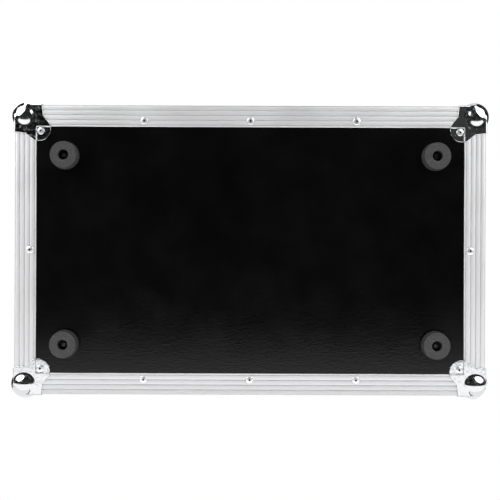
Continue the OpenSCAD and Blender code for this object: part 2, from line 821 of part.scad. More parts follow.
module lid_wall(k) {
    color(laminate) in_lid() difference() {
        wall_panel(k, lid_edge);
        if (k == front) on_side(front) for (s = [-1, 1])
            translate([s * latch_x, 0, lid_h]) recess_cut(latch_rise);
        if (k == back) on_side(back) for (s = [-1, 1])
            translate([s * hinge_x, 0, lid_h]) at_hinge_rivets() rivet_hole(small_d);
    }
}

module base_bottom_panel() {
    color(laminate) in_base() difference() {
        flat_panel();
        for (i = [0:3]) at_foot(i) cylinder(d = screw_d + 2 * fit, h = rail_t + screw_bite + 0.5);
    }
}

module bottom_rail(k) { color(alloy) in_base() edge_rail(k); }
module base_corner_posts() { color(alloy) in_base() corner_posts(base_h); }
module base_seam_profiles() { color(alloy) in_base() seam_profiles(base_h) tongue_profile(); }
module base_ball_corner(i) { color(chrome) in_base() at_corner(i) ball_corner(); }
module foot(i) { color(rubber) at_foot(i) rubber_foot(); }
module foot_washers() { color(zinc) for (i = [0:3]) at_foot(i) foot_washer(); }
module foot_screws() { color(zinc) for (i = [0:3]) at_foot(i) foot_screw(); }
module base_rivets() {
    color(zinc) {
        in_base() half_rivets();
        for (s = [-1, 1]) {
            at_latch(s) recess_rivets(latch_drop);
            at_base_hinge(s) hinge_rivets();
        }
        at_handle() at_handle_rivets() rivet(wall_in - rail_t + steel_t, small_head, small_d);
    }
}
module mat() { color(loop_mat) in_base() floor_mat(); }
module lining() { color(foam) in_base() base_lining(); }
module latch_dish(s) { color(zinc) at_latch(s) latch_recess(latch_drop); }
module latch_plates() { color(zinc) for (s = [-1, 1]) at_latch(s) latch_bridge(); }
module hook(s) { color(zinc) at_latch(s) latch_hook(); }
module rotor(s) { color(zinc) at_latch(s) latch_rotor(); }
module wing(s) { color(zinc) at_latch(s) latch_wing(); }
module handle_pan() { color(zinc) at_handle() handle_dish(); }
module bow() { color(zinc) at_handle() handle_bow(); }
module grip() { color(rubber) at_handle() handle_grip(); }
module base_leaf(s) { color(zinc) at_base_hinge(s) hinge_leaf(0); }
module hinge_pins() { color(zinc) for (s = [-1, 1]) at_base_hinge(s) hinge_pin(); }
module lid_top_panel() { color(laminate) in_lid() flat_panel(); }
module lid_rail(k) { color(alloy) in_lid() edge_rail(k); }
module lid_corner_posts() { color(alloy) in_lid() corner_posts(lid_h); }
module lid_seam_profiles() { color(alloy) in_lid() seam_profiles(lid_h) groove_profile(); }
module lid_ball_corner(i) { color(chrome) in_lid() at_corner(i) ball_corner(); }
module lid_rivets() {
    color(zinc) {
        in_lid() half_rivets();
        for (s = [-1, 1]) {
            at_keeper(s) recess_rivets(latch_rise);
            at_lid_hinge(s) hinge_rivets();
        }
    }
}
module lid_padding() { color(foam) in_lid() lid_foam(); }
module keeper(s) { color(zinc) at_keeper(s) keeper_dish(); }
module lid_leaf(s) { color(zinc) at_lid_hinge(s) hinge_leaf(1); }

base_bottom_panel();
base_wall(front);  // base_front_panel
base_wall(right);  // base_right_panel
base_wall(back);  // base_back_panel
base_wall(left);  // base_left_panel
bottom_rail(front);  // bottom_rail_front
bottom_rail(right);  // bottom_rail_right
bottom_rail(back);  // bottom_rail_back
bottom_rail(left);  // bottom_rail_left
base_corner_posts();
base_seam_profiles();
base_ball_corner(0);  // base_ball_corner_fl
base_ball_corner(1);  // base_ball_corner_fr
base_ball_corner(2);  // base_ball_corner_br
base_ball_corner(3);  // base_ball_corner_bl
foot(0);  // rubber_foot_fl
foot(1);  // rubber_foot_fr
foot(2);  // rubber_foot_br
foot(3);  // rubber_foot_bl
foot_washers();
foot_screws();
base_rivets();
mat();  // floor_mat
lining();  // base_lining
latch_dish(-1);  // latch_dish_left
latch_dish(1);  // latch_dish_right
latch_plates();
hook(-1);  // latch_hook_left
hook(1);  // latch_hook_right
rotor(-1);  // latch_rotor_left
rotor(1);  // latch_rotor_right
wing(-1);  // latch_wing_left
wing(1);  // latch_wing_right
handle_pan();  // handle_dish
bow();  // handle_bow
grip();  // handle_grip
base_leaf(1);  // hinge_base_leaf_left
base_leaf(-1);  // hinge_base_leaf_right
hinge_pins();
lid_top_panel();
lid_wall(front);  // lid_front_panel
lid_wall(right);  // lid_right_panel
lid_wall(back);  // lid_back_panel
lid_wall(left);  // lid_left_panel
lid_rail(front);  // lid_rail_front
lid_rail(right);  // lid_rail_right
lid_rail(back);  // lid_rail_back
lid_rail(left);  // lid_rail_left
lid_corner_posts();
lid_seam_profiles();
lid_ball_corner(0);  // lid_ball_corner_fl
lid_ball_corner(1);  // lid_ball_corner_fr
lid_ball_corner(2);  // lid_ball_corner_br
lid_ball_corner(3);  // lid_ball_corner_bl
lid_rivets();
lid_padding();  // lid_foam
keeper(-1);  // keeper_dish_left
keeper(1);  // keeper_dish_right
lid_leaf(1);  // hinge_lid_leaf_left
lid_leaf(-1);  // hinge_lid_leaf_right
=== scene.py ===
import bpy
import bmesh
import math
import numpy as np
from mathutils import Matrix, Vector


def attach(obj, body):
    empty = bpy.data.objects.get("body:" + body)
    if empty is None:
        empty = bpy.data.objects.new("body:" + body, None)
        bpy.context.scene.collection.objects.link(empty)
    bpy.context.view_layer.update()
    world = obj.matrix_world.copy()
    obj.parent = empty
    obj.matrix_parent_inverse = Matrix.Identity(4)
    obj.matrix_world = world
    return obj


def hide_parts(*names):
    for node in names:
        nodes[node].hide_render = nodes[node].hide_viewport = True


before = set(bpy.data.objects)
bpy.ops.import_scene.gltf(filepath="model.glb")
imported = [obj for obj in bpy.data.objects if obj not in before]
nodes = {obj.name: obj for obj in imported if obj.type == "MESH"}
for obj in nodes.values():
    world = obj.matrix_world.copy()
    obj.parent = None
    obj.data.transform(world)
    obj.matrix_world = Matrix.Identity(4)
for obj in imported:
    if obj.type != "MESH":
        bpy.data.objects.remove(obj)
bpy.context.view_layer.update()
mm = 0.001

# The case as the frame has it, in millimetres. The pieces below are laid out from these.
case = {
    "width": 610.0, "depth": 375.0,      # over the rails
    "bottom": 13.2, "top": 182.6,        # outer faces of the bottom and top rails
    "baseHeight": 105.0, "lidHeight": 64.0,
    "seamFlange": 14.0,                  # height of each seam profile on the walls
    "railWidth": 28.0, "railThick": 1.8, "edgeRadius": 3.0,
    "panelThick": 7.0,
    "ballRadius": 19.0, "ballInset": 13.0,
    "sheet": 1.2,                        # steel of the ball corners and the recessed dishes
}
halfW, halfD = case["width"] / 2, case["depth"] / 2
wallIn = case["railThick"] + case["panelThick"]
corners = {"fl": (-1, -1), "fr": (1, -1), "br": (1, 1), "bl": (-1, 1)}
sideNames = ["front", "right", "back", "left"]


# Colours are written as sRGB hex and turned to linear here
def hexColour(code):
    parts = [int(code[i:i + 2], 16) / 255 for i in (1, 3, 5)]
    linear = [c / 12.92 if c <= 0.04045 else ((c + 0.055) / 1.055) ** 2.4 for c in parts]
    return (*linear, 1.0)


# Adds a node with its settings and inputs, by name or number. A socket is linked, and so is the
# first output of another node; a mix of colours has its result at outputs[2].
def addNode(tree, kind, inputs=None, **settings):
    node = tree.nodes.new("ShaderNode" + kind)
    for name, value in settings.items():
        setattr(node, name, value)
    for name, value in (inputs or {}).items():
        if isinstance(value, bpy.types.Node):
            value = value.outputs[0]
        if isinstance(value, bpy.types.NodeSocket):
            tree.links.new(value, node.inputs[name])
        else:
            node.inputs[name].default_value = value
    return node


# The patterns in every material lie in object space, which is the row frame at rest, so they stay
# on a piece that moves
def newMaterial(name):
    material = bpy.data.materials.new(name)
    material.use_nodes = True
    material.node_tree.nodes.clear()
    return material, material.node_tree


# Phenolic laminate on birch plywood, pressed with a pebble grain: black and half matt, so it
# takes a broad dim sheen from the lights. The grain is about 1.6 mm, drawn at 1.9 to show.
# Inside it is bare sanded birch.
def laminateOnBirch():
    values = {
        "black": "#030303", "sheen": "#050506", "roughness": (0.18, 0.24), "specular": 0.36,
        "birch": "#cbb391", "birchDark": "#b0946b", "grain": 30 * mm,
        "pebble": 1.9 * mm, "pebbleDepth": 0.13 * mm, "wear": 45 * mm,
        "skin": 0.8 * mm,                # how deep the laminate's black goes
    }
    material, tree = newMaterial("phenolicLaminateOnBirch")
    point = addNode(tree, "TexCoord").outputs["Object"]
    wear = addNode(tree, "TexNoise", {
        "Vector": point, "Scale": 1 / values["wear"], "Detail": 4.0, "Roughness": 0.5})
    worn = addNode(tree, "MapRange", {0: wear, 1: 0.35, 2: 0.7, 3: 0, 4: 1})
    black = addNode(tree, "Mix", {
        0: worn, 6: hexColour(values["black"]), 7: hexColour(values["sheen"])}, data_type="RGBA")
    along = addNode(tree, "Mapping", {"Vector": point, "Scale": (1, 9, 9)})
    grain = addNode(tree, "TexNoise", {
        "Vector": along, "Scale": 1 / values["grain"], "Detail": 5.0, "Roughness": 0.6})
    streak = addNode(tree, "MapRange", {0: grain, 1: 0.3, 2: 0.7, 3: 0, 4: 1})
    birch = addNode(tree, "Mix", {
        0: streak, 6: hexColour(values["birch"]), 7: hexColour(values["birchDark"])},
        data_type="RGBA")
    # what lies within the skin of the case's six faces is laminate, and the rest is birch
    parts = addNode(tree, "SeparateXYZ", {"Vector": point})
    middle = (0, 0, (case["bottom"] + case["top"]) / 2 * mm)
    halfH = (case["top"] - case["bottom"]) / 2
    inner = case["railThick"] * mm + values["skin"]
    reach = [half * mm - inner for half in (halfW, halfD, halfH)]
    skin = None
    for axis in range(3):
        away = addNode(tree, "Math", {0: parts.outputs[axis], 1: middle[axis]},
                       operation="SUBTRACT")
        away = addNode(tree, "Math", {0: away}, operation="ABSOLUTE")
        past = addNode(tree, "Math", {0: away, 1: reach[axis]}, operation="GREATER_THAN")
        skin = addNode(tree, "Math", {0: skin, 1: past}, operation="MAXIMUM") if skin else past
    colour = addNode(tree, "Mix", {
        0: skin, 6: birch.outputs[2], 7: black.outputs[2]}, data_type="RGBA")
    low, high = values["roughness"]
    rough = addNode(tree, "MapRange", {0: wear, 1: 0.3, 2: 0.7, 3: low, 4: high})
    pebbles = addNode(tree, "TexVoronoi", {
        "Vector": point, "Scale": 1 / values["pebble"], "Smoothness": 0.35}, feature="SMOOTH_F1")
    soft = addNode(tree, "TexNoise", {
        "Vector": point, "Scale": 1 / (values["pebble"] * 2.2), "Detail": 2.0, "Roughness": 0.5})
    height = addNode(tree, "Math", {0: pebbles.outputs["Distance"], 1: soft}, operation="ADD")
    height = addNode(tree, "Math", {0: height, 1: skin}, operation="MULTIPLY")
    relief = addNode(tree, "Bump", {
        "Height": height, "Strength": 0.7, "Distance": values["pebbleDepth"]})
    shader = addNode(tree, "BsdfPrincipled", {
        "Base Color": colour.outputs[2], "Roughness": rough, "Normal": relief,
        "Specular IOR Level": values["specular"]})
    addNode(tree, "OutputMaterial", {"Surface": shader})
    return material


# Extruded aluminium, clear anodised: pale satin grey with fine die lines along its length,
# about 0.4 mm apart. A skin's UV map holds its own length in metres, and its groove shade layer
# says where painted shade darkens the colour down in the grooves; the frame's level profiles take
# the lines from the height alone.
def anodisedExtrusion(name, mapped):
    values = {
        "metal": "#f0f0f1", "shade": "#e4e4e6", "paintedGrooveShade": "#d8d8d7", "roughness": (0.56, 0.64),
        "dieLine": 0.4 * mm, "lineDepth": 0.01 * mm, "clouds": 50 * mm,
        "stretch": 0.02,                 # of the lines, along the length
    }
    material, tree = newMaterial(name)
    point = addNode(tree, "TexCoord").outputs["Object"]
    stretch = values["stretch"]
    if mapped:
        place, scale = addNode(tree, "UVMap"), (stretch, 1, 1)
    else:
        place, scale = point, (stretch, stretch, 1)
    along = addNode(tree, "Mapping", {"Vector": place, "Scale": scale})
    lines = addNode(tree, "TexNoise", {
        "Vector": along, "Scale": 1 / values["dieLine"], "Detail": 2.0, "Roughness": 0.5})
    clouds = addNode(tree, "TexNoise", {
        "Vector": point, "Scale": 1 / values["clouds"], "Detail": 3.0, "Roughness": 0.5})
    streak = addNode(tree, "MapRange", {0: lines, 1: 0.3, 2: 0.7, 3: 0, 4: 1})
    colour = addNode(tree, "Mix", {
        0: streak, 6: hexColour(values["metal"]), 7: hexColour(values["shade"])}, data_type="RGBA")
    # painted shade: the colour is darkened down in the grooves, where shade falls
    if mapped:
        grooveShadeMask = addNode(tree, "Attribute", attribute_name="paintedGrooveShade").outputs["Fac"]
        colour = addNode(tree, "Mix", {
            0: grooveShadeMask, 6: colour.outputs[2], 7: hexColour(values["paintedGrooveShade"])}, data_type="RGBA")
    low, high = values["roughness"]
    rough = addNode(tree, "MapRange", {0: clouds, 1: 0.3, 2: 0.7, 3: low, 4: high})
    relief = addNode(tree, "Bump", {
        "Height": lines, "Strength": 0.2, "Distance": values["lineDepth"]})
    shader = addNode(tree, "BsdfPrincipled", {
        "Base Color": colour.outputs[2], "Metallic": 1.0, "Roughness": rough, "Normal": relief})
    addNode(tree, "OutputMaterial", {"Surface": shader})
    return material


# Pressed steel, nickel and chrome plated: a near mirror with the faint waviness of a deep
# pressing, about 9 mm across, and a bloom of handling marks.
def chromedSteel():
    values = {"plate": "#dddee0", "roughness": (0.06, 0.32), "wave": 9 * mm, "waveDepth": 0.12 * mm,
              "marks": 3.5 * mm}
    material, tree = newMaterial("chromePlatedSteel")
    point = addNode(tree, "TexCoord").outputs["Object"]
    marks = addNode(tree, "TexNoise", {
        "Vector": point, "Scale": 1 / values["marks"], "Detail": 4.0, "Roughness": 0.6})
    waves = addNode(tree, "TexNoise", {
        "Vector": point, "Scale": 1 / values["wave"], "Detail": 2.0, "Roughness": 0.5})
    low, high = values["roughness"]
    rough = addNode(tree, "MapRange", {0: marks, 1: 0.46, 2: 0.72, 3: low, 4: high})
    relief = addNode(tree, "Bump", {
        "Height": waves, "Strength": 0.25, "Distance": values["waveDepth"]})
    shader = addNode(tree, "BsdfPrincipled", {
        "Base Color": hexColour(values["plate"]), "Metallic": 1.0, "Roughness": rough,
        "Normal": relief})
    addNode(tree, "OutputMaterial", {"Surface": shader})
    return material


# Steel, bright zinc plated and passivated: grey with a faint cloudy blue and straw cast and a
# crystalline mottle of a few millimetres.
def zincPlatedSteel():
    values = {"blue": "#b4b9bf", "straw": "#b9b8b1", "roughness": (0.22, 0.4), "clouds": 20 * mm,
              "mottle": 5 * mm, "mottleDepth": 0.05 * mm}
    material, tree = newMaterial("zincPlatedSteel")
    point = addNode(tree, "TexCoord").outputs["Object"]
    clouds = addNode(tree, "TexNoise", {
        "Vector": point, "Scale": 1 / values["clouds"], "Detail": 3.0, "Roughness": 0.5})
    mottle = addNode(tree, "TexNoise", {
        "Vector": point, "Scale": 1 / values["mottle"], "Detail": 5.0, "Roughness": 0.6})
    cast = addNode(tree, "MapRange", {0: clouds, 1: 0.35, 2: 0.65, 3: 0, 4: 1})
    colour = addNode(tree, "Mix", {
        0: cast, 6: hexColour(values["blue"]), 7: hexColour(values["straw"])}, data_type="RGBA")
    low, high = values["roughness"]
    rough = addNode(tree, "MapRange", {0: mottle, 1: 0.3, 2: 0.7, 3: low, 4: high})
    relief = addNode(tree, "Bump", {
        "Height": mottle, "Strength": 0.15, "Distance": values["mottleDepth"]})
    shader = addNode(tree, "BsdfPrincipled", {
        "Base Color": colour.outputs[2], "Metallic": 1.0, "Roughness": rough, "Normal": relief})
    addNode(tree, "OutputMaterial", {"Surface": shader})
    return material


# Aluminium blind rivets, cold headed: bright satin domes.
def rivetMetal():
    values = {"metal": "#f4f4f5", "roughness": (0.34, 0.48), "marks": 1.2 * mm,
              "markDepth": 0.03 * mm}
    material, tree = newMaterial("coldHeadedAluminium")
    point = addNode(tree, "TexCoord").outputs["Object"]
    marks = addNode(tree, "TexNoise", {
        "Vector": point, "Scale": 1 / values["marks"], "Detail": 3.0, "Roughness": 0.5})
    low, high = values["roughness"]
    rough = addNode(tree, "MapRange", {0: marks, 1: 0.3, 2: 0.7, 3: low, 4: high})
    relief = addNode(tree, "Bump", {
        "Height": marks, "Strength": 0.2, "Distance": values["markDepth"]})
    shader = addNode(tree, "BsdfPrincipled", {
        "Base Color": hexColour(values["metal"]), "Metallic": 1.0, "Roughness": rough,
        "Normal": relief})
    addNode(tree, "OutputMaterial", {"Surface": shader})
    return material


# Steel, oiled and made dark as painted shade: the washers down in the feet and the broken pins
# down in the rivets are nearly black where they sit in shade, and the foot screws are a darker
# grey, rubbed paler in a mottle.
def shadeDarkenedSteel(name, steel, worn):
    values = {"roughness": (0.3, 0.5), "mottle": 1.5 * mm, "mottleDepth": 0.04 * mm}
    material, tree = newMaterial(name)
    point = addNode(tree, "TexCoord").outputs["Object"]
    mottle = addNode(tree, "TexNoise", {
        "Vector": point, "Scale": 1 / values["mottle"], "Detail": 4.0, "Roughness": 0.6})
    rubbed = addNode(tree, "MapRange", {0: mottle, 1: 0.5, 2: 0.75, 3: 0, 4: 1})
    colour = addNode(tree, "Mix", {0: rubbed, 6: hexColour(steel), 7: hexColour(worn)},
                     data_type="RGBA")
    low, high = values["roughness"]
    rough = addNode(tree, "MapRange", {0: mottle, 1: 0.3, 2: 0.7, 3: low, 4: high})
    relief = addNode(tree, "Bump", {
        "Height": mottle, "Strength": 0.2, "Distance": values["mottleDepth"]})
    shader = addNode(tree, "BsdfPrincipled", {
        "Base Color": colour.outputs[2], "Metallic": 1.0, "Roughness": rough, "Normal": relief})
    addNode(tree, "OutputMaterial", {"Surface": shader})
    return material


# Moulded natural rubber: matt, with a fine spark-eroded grain about half a millimetre across, a
# scatter of pale specks of chalk from the mould, and dust from the floor. Where two face colours
# are given, the face is painted paler than the sides as painted light from below, mottled like a
# scuff.
def mouldedRubber(name, rubber, dust, specks, litScuffedFace=None):
    values = {
        "speck": "#656564", "roughness": 0.8, "specular": 0.15,
        "grain": 0.5 * mm, "grainDepth": 0.06 * mm, "dusty": 11 * mm,
        "spacing": 1.7 * mm,             # of the specks
        "worn": (0.04 * mm, 0.35 * mm),  # heights above the floor that the painted pale face fades out between
    }
    material, tree = newMaterial(name)
    point = addNode(tree, "TexCoord").outputs["Object"]
    grain = addNode(tree, "TexNoise", {
        "Vector": point, "Scale": 1 / values["grain"], "Detail": 2.0, "Roughness": 0.5})
    dusty = addNode(tree, "TexNoise", {
        "Vector": point, "Scale": 1 / values["dusty"], "Detail": 5.0, "Roughness": 0.6})
    settled = addNode(tree, "MapRange", {0: dusty, 1: 0.42, 2: 0.75, 3: 0, 4: 1})
    body = addNode(tree, "Mix", {0: settled, 6: hexColour(rubber), 7: hexColour(dust)},
                   data_type="RGBA")
    # painted light: the face on the floor is painted paler than the sides, with a patchy scuff
    # mottle
    if litScuffedFace:
        height = addNode(tree, "SeparateXYZ", {"Vector": point}).outputs["Z"]
        patchy = addNode(tree, "MapRange", {0: grain, 1: 0.3, 2: 0.7, 3: 0, 4: 1})
        worn = addNode(tree, "Mix", {0: patchy, 6: hexColour(litScuffedFace[0]), 7: hexColour(litScuffedFace[1])},
                       data_type="RGBA")
        low, high = values["worn"]
        litFaceMask = addNode(tree, "MapRange", {0: height, 1: low, 2: high, 3: 1, 4: 0})
        body = addNode(tree, "Mix", {0: litFaceMask, 6: body.outputs[2], 7: worn.outputs[2]},
                       data_type="RGBA")
    dots = addNode(tree, "TexVoronoi", {"Vector": point, "Scale": 1 / values["spacing"]})
    chalk = addNode(tree, "MapRange", {
        0: dots.outputs["Distance"], 1: 0.16, 2: 0.3, 3: specks, 4: 0.0})
    colour = addNode(tree, "Mix", {0: chalk, 6: body.outputs[2], 7: hexColour(values["speck"])},
                     data_type="RGBA")
    relief = addNode(tree, "Bump", {
        "Height": grain, "Strength": 0.4, "Distance": values["grainDepth"]})
    shader = addNode(tree, "BsdfPrincipled", {
        "Base Color": colour.outputs[2], "Roughness": values["roughness"], "Normal": relief,
        "Specular IOR Level": values["specular"]})
    addNode(tree, "OutputMaterial", {"Surface": shader})
    return material


# Open-cell polyurethane foam, cut: charcoal, quite matt, with cells of about 0.9 mm that are
# drawn as pits.
def openCellFoam():
    values = {"foam": "#2b2b2e", "worn": "#3a3a3e", "roughness": 0.95, "sheen": 0.25,
              "cell": 0.9 * mm, "cellDepth": 0.5 * mm, "clouds": 20 * mm}
    material, tree = newMaterial("openCellFoam")
    point = addNode(tree, "TexCoord").outputs["Object"]
    cells = addNode(tree, "TexVoronoi", {"Vector": point, "Scale": 1 / values["cell"]})
    clouds = addNode(tree, "TexNoise", {
        "Vector": point, "Scale": 1 / values["clouds"], "Detail": 4.0, "Roughness": 0.5})
    worn = addNode(tree, "MapRange", {0: clouds, 1: 0.35, 2: 0.7, 3: 0, 4: 1})
    colour = addNode(tree, "Mix", {
        0: worn, 6: hexColour(values["foam"]), 7: hexColour(values["worn"])}, data_type="RGBA")
    relief = addNode(tree, "Bump", {
        "Height": cells.outputs["Distance"], "Strength": 0.7, "Distance": values["cellDepth"]})
    shader = addNode(tree, "BsdfPrincipled", {
        "Base Color": colour.outputs[2], "Roughness": values["roughness"], "Normal": relief,
        "Sheen Weight": values["sheen"]})
    addNode(tree, "OutputMaterial", {"Surface": shader})
    return material


# Loop pile carpet, needled polypropylene: near black loops about 2 mm apart.
def loopPile():
    values = {"yarn": "#1b1b1d", "lit": "#303033", "roughness": 0.92, "sheen": 0.4,
              "loop": 2.0 * mm, "loopHeight": 0.8 * mm}
    material, tree = newMaterial("loopPileCarpet")
    point = addNode(tree, "TexCoord").outputs["Object"]
    loops = addNode(tree, "TexVoronoi", {
        "Vector": point, "Scale": 1 / values["loop"], "Randomness": 0.6})
    tops = addNode(tree, "MapRange", {0: loops.outputs["Distance"], 1: 0.0, 2: 0.6, 3: 1, 4: 0})
    colour = addNode(tree, "Mix", {
        0: tops, 6: hexColour(values["yarn"]), 7: hexColour(values["lit"])}, data_type="RGBA")
    relief = addNode(tree, "Bump", {
        "Height": loops.outputs["Distance"], "Strength": 0.9, "Distance": -values["loopHeight"]})
    shader = addNode(tree, "BsdfPrincipled", {
        "Base Color": colour.outputs[2], "Roughness": values["roughness"], "Normal": relief,
        "Sheen Weight": values["sheen"]})
    addNode(tree, "OutputMaterial", {"Surface": shader})
    return material


laminate = laminateOnBirch()
ribbedAluminium = anodisedExtrusion("clearAnodisedAluminium", True)
levelAluminium = anodisedExtrusion("clearAnodisedProfile", False)
chrome = chromedSteel()
zinc = zincPlatedSteel()
rivetAlloy = rivetMetal()
# painted shade: near black steel for the washers and rivet pins, deep in their holes
shadeDarkSteel = shadeDarkenedSteel("shadeDarkenedSteel", "#2a2a2c", "#4b4a49")
# painted shade: the screws' dark grey stands for the shade down in the wells; the paler mottle is
# rubbing
rubbedShadeDarkSteel = shadeDarkenedSteel("rubbedShadedScrewSteel", "#58585a", "#7c7c7c")
# the foot's last two colours paint its face paler: painted light, with a patchy scuff
footRubber = mouldedRubber("mouldedFootRubber", "#2e2e2e", "#363636", 0.9, ("#3a3a3a", "#444444"))
gripRubber = mouldedRubber("mouldedGripRubber", "#1a1a1b", "#262627", 0.1)
foam = openCellFoam()
carpet = loopPile()
print("finishes made")


# A mesh from points in millimetres, riding on its body. uv and the painted groove shade go with the
# points.
def newPiece(name, points, faces, material, body, uv=None, paintedGrooveShade=None):
    mesh = bpy.data.meshes.new(name)
    mesh.from_pydata([tuple(c * mm for c in p) for p in points], [], faces)
    mesh.validate()
    mesh.materials.append(material)
    if uv:
        layer = mesh.uv_layers.new(name="length")
        for loop in mesh.loops:
            layer.data[loop.index].uv = uv[loop.vertex_index]
    if paintedGrooveShade:
        mesh.attributes.new("paintedGrooveShade", "FLOAT", "POINT").data.foreach_set("value", paintedGrooveShade)
    mesh.polygons.foreach_set("use_smooth", [True] * len(mesh.polygons))
    piece = bpy.data.objects.new(name, mesh)
    bpy.context.scene.collection.objects.link(piece)
    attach(piece, body)
    return piece


# Turns the faces outwards and keeps the edges sharp that turn by more than this many degrees
def sharpen(piece, degrees):
    mesh = piece.data
    work = bmesh.new()
    work.from_mesh(mesh)
    bmesh.ops.recalc_face_normals(work, faces=work.faces)
    for edge in work.edges:
        if len(edge.link_faces) == 2:
            edge.smooth = edge.calc_face_angle(0) < math.radians(degrees)
    work.to_mesh(mesh)
    work.free()


# Turns a line of (radius, height) points about the z axis
def turned(line, sides):
    points, faces, rows = [], [], []
    for radius, height in line:
        count = sides if radius > 1e-6 else 1
        rows.append([len(points) + i for i in range(count)])
        for i in range(count):
            angle = 2 * math.pi * i / sides
            points.append((radius * math.cos(angle), radius * math.sin(angle), height))
    for first, second in zip(rows, rows[1:]):
        for i in range(sides):
            j = i + 1
            ring = [first[i % len(first)], first[j % len(first)], second[j % len(second)],
                    second[i % len(second)]]
            ring = tuple(dict.fromkeys(ring))
            if len(ring) > 2:
                faces.append(ring)
    return points, faces


def joined(parts):
    points, faces = [], []
    for partPoints, partFaces in parts:
        start = len(points)
        points += partPoints
        faces += [tuple(start + i for i in face) for face in partFaces]
    return points, faces


# Height in the row frame of what lies z in from a half's outer face
def heightIn(half, z):
    return case["bottom"] + z if half == "base" else case["top"] - z


# Side frame (x along, y inwards, z in from the half's outer face) to the row frame
def placeOnSide(points, k, half):
    turn = math.radians(90 * k)
    out = halfD if k % 2 == 0 else halfW
    placed = []
    for x, y, z in points:
        y -= out
        placed.append((x * math.cos(turn) - y * math.sin(turn),
                       x * math.sin(turn) + y * math.cos(turn), heightIn(half, z)))
    return placed


rail = {
    "grooves": [6.7, 13.1, 19.5, 25.9],  # middles, from the outer edge
    "grooveWidth": 1.1, "grooveDepth": 0.6,
    "crown": 0.24,                       # rise of a rib over its edges
    "ribSteps": 7,
    # points across a groove, as shares of its width and depth
    "grooveShape": [(0.2, 0.6), (0.42, 1.0), (0.58, 1.0), (0.8, 0.6)],
    # points past the last groove, and before the leg's inner end, each with its depth
    "lastRib": [(0, 0.22), (0.25, 0.08)],
    "innerEdge": [(1.1, 0.0), (0.6, 0.05), (0.2, 0.28), (0, 0.75)],
    "end": 9.6,                          # from the case's corner, under the ball
    "crease": 38,                        # degrees from which an edge stays sharp
}


# One leg of the rail from its edge radius to its inner edge, as (along the leg, depth)
def legLine(width, grooves):
    half, steps, crown = rail["grooveWidth"] / 2, rail["ribSteps"], rail["crown"]
    line = []
    start = case["edgeRadius"]
    for i, groove in enumerate(grooves):
        stop = groove - half
        for j in range(steps):
            f = j / (steps - 1)
            s = start + (stop - start) * f
            # the first rib runs level into the outer edge, the others are crowned both ways
            depth = crown * (2 * f - 1) ** 2 if i else crown * max(0, 2 * f - 1) ** 2
            line.append((s, depth))
        for share, deep in rail["grooveShape"]:
            line.append((stop + rail["grooveWidth"] * share, crown + rail["grooveDepth"] * deep))
        start = groove + half
    line += [(start + past, depth) for past, depth in rail["lastRib"]]
    return line + [(width - before, depth) for before, depth in rail["innerEdge"]]


# The whole section as (inwards, up): up the upright leg, round the outer edge, along the flat leg
# and back along the inner faces
def railSection():
    width, thick, radius = case["railWidth"], case["railThick"], case["edgeRadius"]
    flat = legLine(width, rail["grooves"])
    upright = [(u, n) for n, u in flat]
    arc = [(radius * (1 - math.cos(a)), radius * (1 - math.sin(a)))
           for a in (math.radians(d) for d in range(10, 90, 10))]
    return upright[::-1] + arc + flat + [(width, thick), (thick, thick), (thick, width)]


# Extrudes a section of (inwards, up) points along a side; each point ends where endAt says.
# Gives points, faces, the place along the section for the die lines, and painted shade in the
# grooves.
def extrudeAlong(section, endAt):
    count = len(section)
    points = [(-endAt(n), n, u) for n, u in section] + [(endAt(n), n, u) for n, u in section]
    faces = [(i, (i + 1) % count, count + (i + 1) % count, count + i) for i in range(count)]
    faces += [tuple(range(count))[::-1], tuple(range(count, 2 * count))]
    lengths = [0.0]
    for i in range(1, count):
        lengths.append(lengths[-1] + math.dist(section[i - 1], section[i]))
    uv = [(p[0] * mm, lengths[i % count] * mm) for i, p in enumerate(points)]
    halfDeep = rail["crown"] + rail["grooveDepth"] * 0.5
    inside = case["railThick"] - 0.01
    # painted shade: points down in a groove get the darker colour
    paintedGrooveShade = [1.0 if halfDeep < min(n, u) < inside else 0.0 for n, u in section] * 2
    return points, faces, uv, paintedGrooveShade


# The ends are mitred, with the mitre's tip cut square inside the ball corner
def edgeRails():
    section = railSection()
    end = rail["end"]
    for half, body, prefix in (("base", "tray", "bottom_rail_"), ("lid", "lid", "lid_rail_")):
        for k, side in enumerate(sideNames):
            length = case["width"] if k % 2 == 0 else case["depth"]
            points, faces, uv, paintedGrooveShade = extrudeAlong(section, lambda n: length / 2 - max(end, n))
            piece = newPiece(prefix + side + "_skin", placeOnSide(points, k, half), faces,
                             ribbedAluminium, body, uv, paintedGrooveShade)
            sharpen(piece, rail["crease"])
            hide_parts(prefix + side)


edgeRails()
print("rails made")


ballCorner = {
    "leg": 35.5,                         # of each plate, along the case's edges
    "lugReach": 46.4, "lugRadius": 14.4, "lugRivet": 33.7,
    "flare": (1.7, 14.2),                # how far a plate's side widens, and where along it
    "neck": 6.1,                         # from the lug's middle back to the start of its round end
    "past": 8,                           # how far the outline runs on past the case's corner
    "joggle": 27.9, "joggleRound": 2.0,  # where the plate steps down past the rail
    "joggleSlope": (0.35, 1.25),         # where the step starts, and its length
    "lugDepth": 0.6,                     # of the lug's outer face below the rail's
    "edge": 1.8,                         # outer radius of the pressing's edges
    "cutRound": 0.8,                     # rounding where the sheet is cut
    # how far the ball runs into the bottom or top plate and into the side plates, and the rise
    # over which the one turns into the other
    "blend": (2.4, 1.2), "blendRise": 7,
    "ballPlay": 0.02,                    # off the ball's radius
    "span": (-7.4, 48.0), "cell": 0.55,  # of the grid that the form is sampled on
    "keep": 0.3,                         # share of the sampled faces
    "probe": 0.12,                       # half the step that a slope is measured over
}


